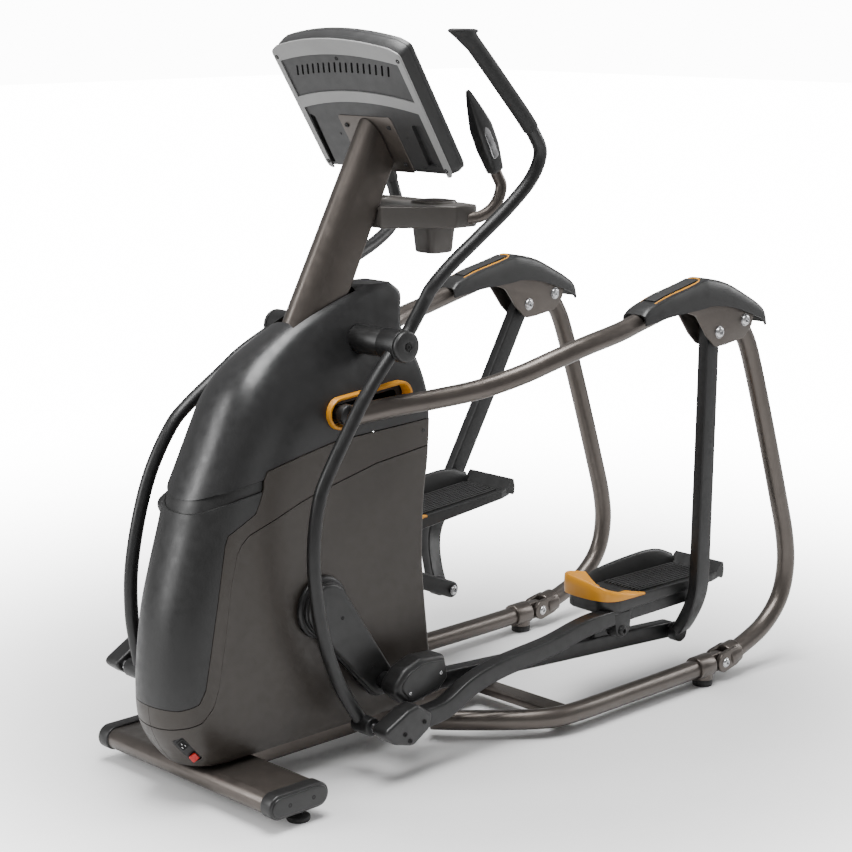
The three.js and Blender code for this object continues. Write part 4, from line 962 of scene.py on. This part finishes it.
    deck_rows = [deck_ring(-16, 248, 261), deck_ring(-6, 245, 258.5), deck_ring(-1, 249, 260),
                 deck_ring(0.5, 281, 274),
                 deck_ring(-1, 285.4, 279.5), deck_ring(-5, 286.4, 281), deck_ring(-9, 284.4, 279),
                 deck_ring(-12, 282.4, 277)]
    add("foot_deck", skin(deck_rows), "black_plastic", "pedal_lever", "pedal", move="arm", angle=50,
        same_hand=True)
    wall_top = smooth_path([(124.5, 226, 290), (122.5, 300, 305), (122.5, 360, 317), (123, 450, 325),
                            (123, 540, 328),
                            (123, 600, 320), (124, 650, 300)], 6)
    rows = []
    for p in wall_top:
        rows.append([Vector((p.x + dx, p.y, z)) for dx, z in
                     ((0, 274), (-1, p.z - 8), (0.5, p.z - 2.5), (4, p.z), (8.5, p.z - 1.5), (11, p.z - 7),
                      (15, 290), (17, 278))])
    add("foot_wall", skin(rows), "black_plastic", "pedal_lever", move="arm", angle=50, same_hand=True)
    lip_section = ((636, 270), (660, 262), (668, 258), (674, 262), (677, 280), (674, 300), (668, 303),
                   (660, 296), (646, 280))
    lip_rows = [[Vector((x, y, z)) for y, z in lip_section] for x in span(130, 288, 8)]
    add("foot_rear_lip", skin(lip_rows), "black_plastic", "pedal_lever", move="arm", angle=50, same_hand=True)
    ribs = []
    for k in range(11):
        x0 = 148 + 11.4 * k
        rows = []
        for y in (352, 354, 470, 610, 624, 626):
            z = 283.4 - 5.4 * (y - 208) / 460
            top = 3.4 if 353 < y < 625 else 0.6
            rows.append([Vector((x, y, zz)) for x, zz in ((x0, z - 3), (x0, z + top - 0.8), (x0 + 1, z + top),
                    (x0 + 5.2, z + top),
                                                         (x0 + 6.2, z + top - 0.8), (x0 + 6.2, z - 3))])
        ribs.append(skin(rows))
    add("tread_ribs", merge(*ribs), "rubber", "pedal_lever", move="arm", same_hand=True)
    toe_line = smooth_path([(121, 300, 316), (119.8, 262, 324), (123, 236, 329), (138, 211, 332),
                            (172, 200, 332),
                            (212, 198, 329), (252, 202, 322), (281, 216, 313), (295.5, 246, 304),
                            (297, 290, 294),
                            (296, 344, 284)], 5)
    toe_section = ((0.5, -3, 0), (-1.0, 0, 0.5), (0.4, -2.5, 1), (3.0, 0, 1), (7, -0.4, 1), (16, 0, 0.80),
                   (28, 0, 0.45),
                   (42, 0, 0.14), (52, 0.6, 0), (52, -3, 0))
    rows = []
    for p in toe_line:
        base = Vector((p.x, p.y, 285.5 - 5.4 * (p.y - 208) / 460))
        inward = (Vector((208, 310, 0)) - Vector((p.x, p.y, 0))).normalized()
        h = max(p.z - base.z, 3.0)
        rows.append([base + inward * d + Vector((0, 0, lift + h * part)) for d, lift, part in toe_section])
    add("toe_wall", skin(rows), "yellow_plastic", "pedal_lever", "toe_cup", move="arm", angle=55,
        same_hand=True)

    # Crank: disc behind, the arm, and a cover with screws over the arm.
    disc = turned((116, *CRANK_AXIS), (1, 0, 0),
                  round_off([(40, 0), (74, 0, 3), (74, 10, 5), (66, 14, 3), (30, 15)]), 56)
    crank_bar = plate(stadium(CRANK_AXIS, CRANK_PIN, 62, 42), 122, 138, 4)
    add("crank_core", merge(disc, crank_bar), "black_paint", None, "crank_arm", move="crank")
    cover_line = stadium(CRANK_AXIS, CRANK_PIN, 60, 38, 22)
    add("crank_shell", plate(cover_line, 132, 149, 9, steps=6), "black_plastic", None, move="crank")
    # The cover screws carry the painted recess shade.
    add("crank_shell_screws", merge(*[screw((149, y, z), (1, 0, 0), 4.6)
                                      for y, z in ((-560, 378), (-468, 240))]), "black_plastic",
        None, move="crank", material=PAINTED_RECESS_SHADE)

    # Handle hub, lever tube and grip.
    hub = turned((66, *HANDLE_TOP), (1, 0, 0),
                 round_off([(12, 0), (34, 0, 2), (33, 60, 2), (31, 94, 3), (20, 97)]), 44)
    cap = turned((223, *HANDLE_TOP), (1, 0, 0),
                 round_off([(24, 0), (37, 0, 2), (37.5, 4, 2), (35, 12, 4), (20, 13.4), (12, 13.2, 1),
                                                         (11, 11), (4, 11)]), 48)
    add("handle_boss", merge(hub, cap), "black_plastic", "hub_pivot", "handle_hub")
    # The cap bolt carries the painted recess shade.
    add("handle_cap_bolt", button_bolt((233.6, *HANDLE_TOP), (1, 0, 0), 7.5, 3), "black_plastic", "hub_pivot",
        material=PAINTED_RECESS_SHADE)
    handle_path = [(185, -535, 129), (185, -573, 184), (187, -610, 245), (189, -649, 340), (190, -675, 457),
                   (192, -683, 570),
                   (194, -668, 677), (196, -640, 740), (198, -573, 842), (201, -528, 907), (202, -467, 976),
                   (202, -432, 1006),
                   (203, -396, 1041), (213, -360, 1102), (226, -348, 1134), (242, -303, 1183),
                   (263, -232, 1244), (284, -160, 1307),
                   (303, -106, 1369), (316, -90, 1426), (324, -118, 1470), (328, -170, 1526)]
    lever_tube = tube(handle_path, 16, 7, 28)
    sleeve = turned((162, *HANDLE_TOP), (1, 0, 0), round_off([(20, 0), (37, 0, 4), (37, 59, 2), (24, 60)]),
                    44)
    heel = turned((168, *HANDLE_LOW), (1, 0, 0), round_off([(12, 0), (22, 0, 3), (22, 55, 3), (12, 56)]), 36)
    add("lever_tube", merge(lever_tube, sleeve, heel), "black_paint", "handle_lever", "handlebar",
        move="handle")
    grip_path = [(325.5, -132, 1486), (327, -166, 1522), (327, -208, 1565), (327, -250, 1608),
                 (326.5, -295, 1654), (326, -338, 1697)]
    add("hand_grip", tube(grip_path, 18.6, 8, 32, 3.0), "rubber", "handle_lever", move="handle")
    # End cap: the round tube opens into a level oval that reaches forward.
    start, end = Vector((326, -322, 1680)), Vector((326, -352, 1706))
    knob = []
    for t, size, rise in ((0, 1, 0), (0.4, 1.04, 0), (0.7, 1.0, 0), (0.9, 1.0, 0), (1, 1, 0), (1, 1, 3),
                          (1, 0.94, 5.4), (1, 0.70, 7)):
        spread = t ** 2.2
        u = Vector((18.8 + 5.2 * spread, 0, 0)) * size
        v = (Vector((0, -13.7, -12.8)) * (1 - spread) + Vector((0, -41, 1)) * spread) * size
        centre = start.lerp(end, t) + Vector((0, 0, rise))
        knob.append([centre + u * cos(a) + v * sin(a) for a in span(0, 2 * pi * 35 / 36, 35)])
    add("grip_knob", skin(knob), "rubber", "handle_lever", move="handle", angle=55)

# ---------------------------------------------------------------- stage, light, camera
floor_mesh = bpy.data.meshes.new("floor")
FLOOR = 30.0
floor_mesh.from_pydata([(-FLOOR, -FLOOR, 0), (FLOOR, -FLOOR, 0), (FLOOR, FLOOR, 0), (-FLOOR, FLOOR, 0)], [],
                       [(0, 1, 2, 3)])
floor = bpy.data.objects.new("floor", floor_mesh)
bpy.context.scene.collection.objects.link(floor)
floor_paint = finish("floor_paint", (0.82, 0.82, 0.82), 0.75, spread=0.01)
floor_mesh.materials.append(floor_paint)


def area_light(name, place, aim, width, height, power):
    light = bpy.data.lights.new(name, "AREA")
    light.shape = "RECTANGLE"
    light.size, light.size_y = width, height
    light.energy = power
    ob = bpy.data.objects.new(name, light)
    ob.location = place
    ob.rotation_euler = (Vector(aim) - Vector(place)).to_track_quat("-Z", "Y").to_euler()
    bpy.context.scene.collection.objects.link(ob)


area_light("top_softbox", (0.3, -0.6, 4.6), (0, 0, 0.4), 2.2, 3.4, 380)
area_light("front_softbox", (-1.9, -4.2, 2.4), (0, -0.2, 0.8), 0.9, 3.2, 130)
area_light("rear_softbox", (2.0, 4.4, 2.4), (0, 0.3, 0.7), 1.0, 3.0, 90)

BACKDROP_STRENGTH = 16.0  # seen by the camera only
ROOM_STRENGTH = 0.34  # what lights the machine
FADE_START, FADE_END = 0.7, 3.8  # metres from the machine's centre


def blend_for_camera(tree, amount, near, far, output):
    """Mixes two shaders by an amount and makes the mix the tree's surface."""
    blend = tree.nodes.new("ShaderNodeMixShader")
    tree.links.new(amount, blend.inputs["Fac"])
    tree.links.new(near, blend.inputs[1])
    tree.links.new(far, blend.inputs[2])
    tree.links.new(blend.outputs["Shader"], tree.nodes[output].inputs["Surface"])


# A white backdrop for the camera, and a dimmer one for what lights the machine.
world = bpy.data.worlds.new("studio")
bpy.context.scene.world = world
world.use_nodes = True
tree = world.node_tree
seen = tree.nodes.new("ShaderNodeLightPath")
backdrop = tree.nodes.new("ShaderNodeBackground")
backdrop.inputs["Strength"].default_value = BACKDROP_STRENGTH
room = tree.nodes["Background"]
room.inputs["Color"].default_value = (1, 1, 1, 1)
room.inputs["Strength"].default_value = ROOM_STRENGTH
blend_for_camera(tree, seen.outputs["Is Camera Ray"], room.outputs["Background"],
                 backdrop.outputs["Background"], "World Output")

# Away from the machine the floor brightens into the backdrop, for the camera only.
tree = floor_paint.node_tree
reach = tree.nodes.new("ShaderNodeVectorMath")
reach.operation = "LENGTH"
tree.links.new(tree.nodes["Texture Coordinate"].outputs["Object"], reach.inputs[0])
fade = tree.nodes.new("ShaderNodeMapRange")
fade.interpolation_type = "SMOOTHSTEP"
fade.inputs["From Min"].default_value = FADE_START
fade.inputs["From Max"].default_value = FADE_END
tree.links.new(reach.outputs["Value"], fade.inputs["Value"])
seen = tree.nodes.new("ShaderNodeLightPath")
amount = tree.nodes.new("ShaderNodeMath")
amount.operation = "MULTIPLY"
tree.links.new(fade.outputs["Result"], amount.inputs[0])
tree.links.new(seen.outputs["Is Camera Ray"], amount.inputs[1])
glow = tree.nodes.new("ShaderNodeEmission")
glow.inputs["Strength"].default_value = BACKDROP_STRENGTH
blend_for_camera(tree, amount.outputs["Value"], tree.nodes["Principled BSDF"].outputs["BSDF"],
                 glow.outputs["Emission"], "Material Output")

camera_data = bpy.data.cameras.new("photo_camera")
camera = bpy.data.objects.new("photo_camera", camera_data)
camera.location = (3.6143, -3.5936, 1.8046)
camera.rotation_euler = (radians(78.121), 0, radians(46.008))
camera_data.lens = 88.5
bpy.context.scene.collection.objects.link(camera)
bpy.context.scene.camera = camera
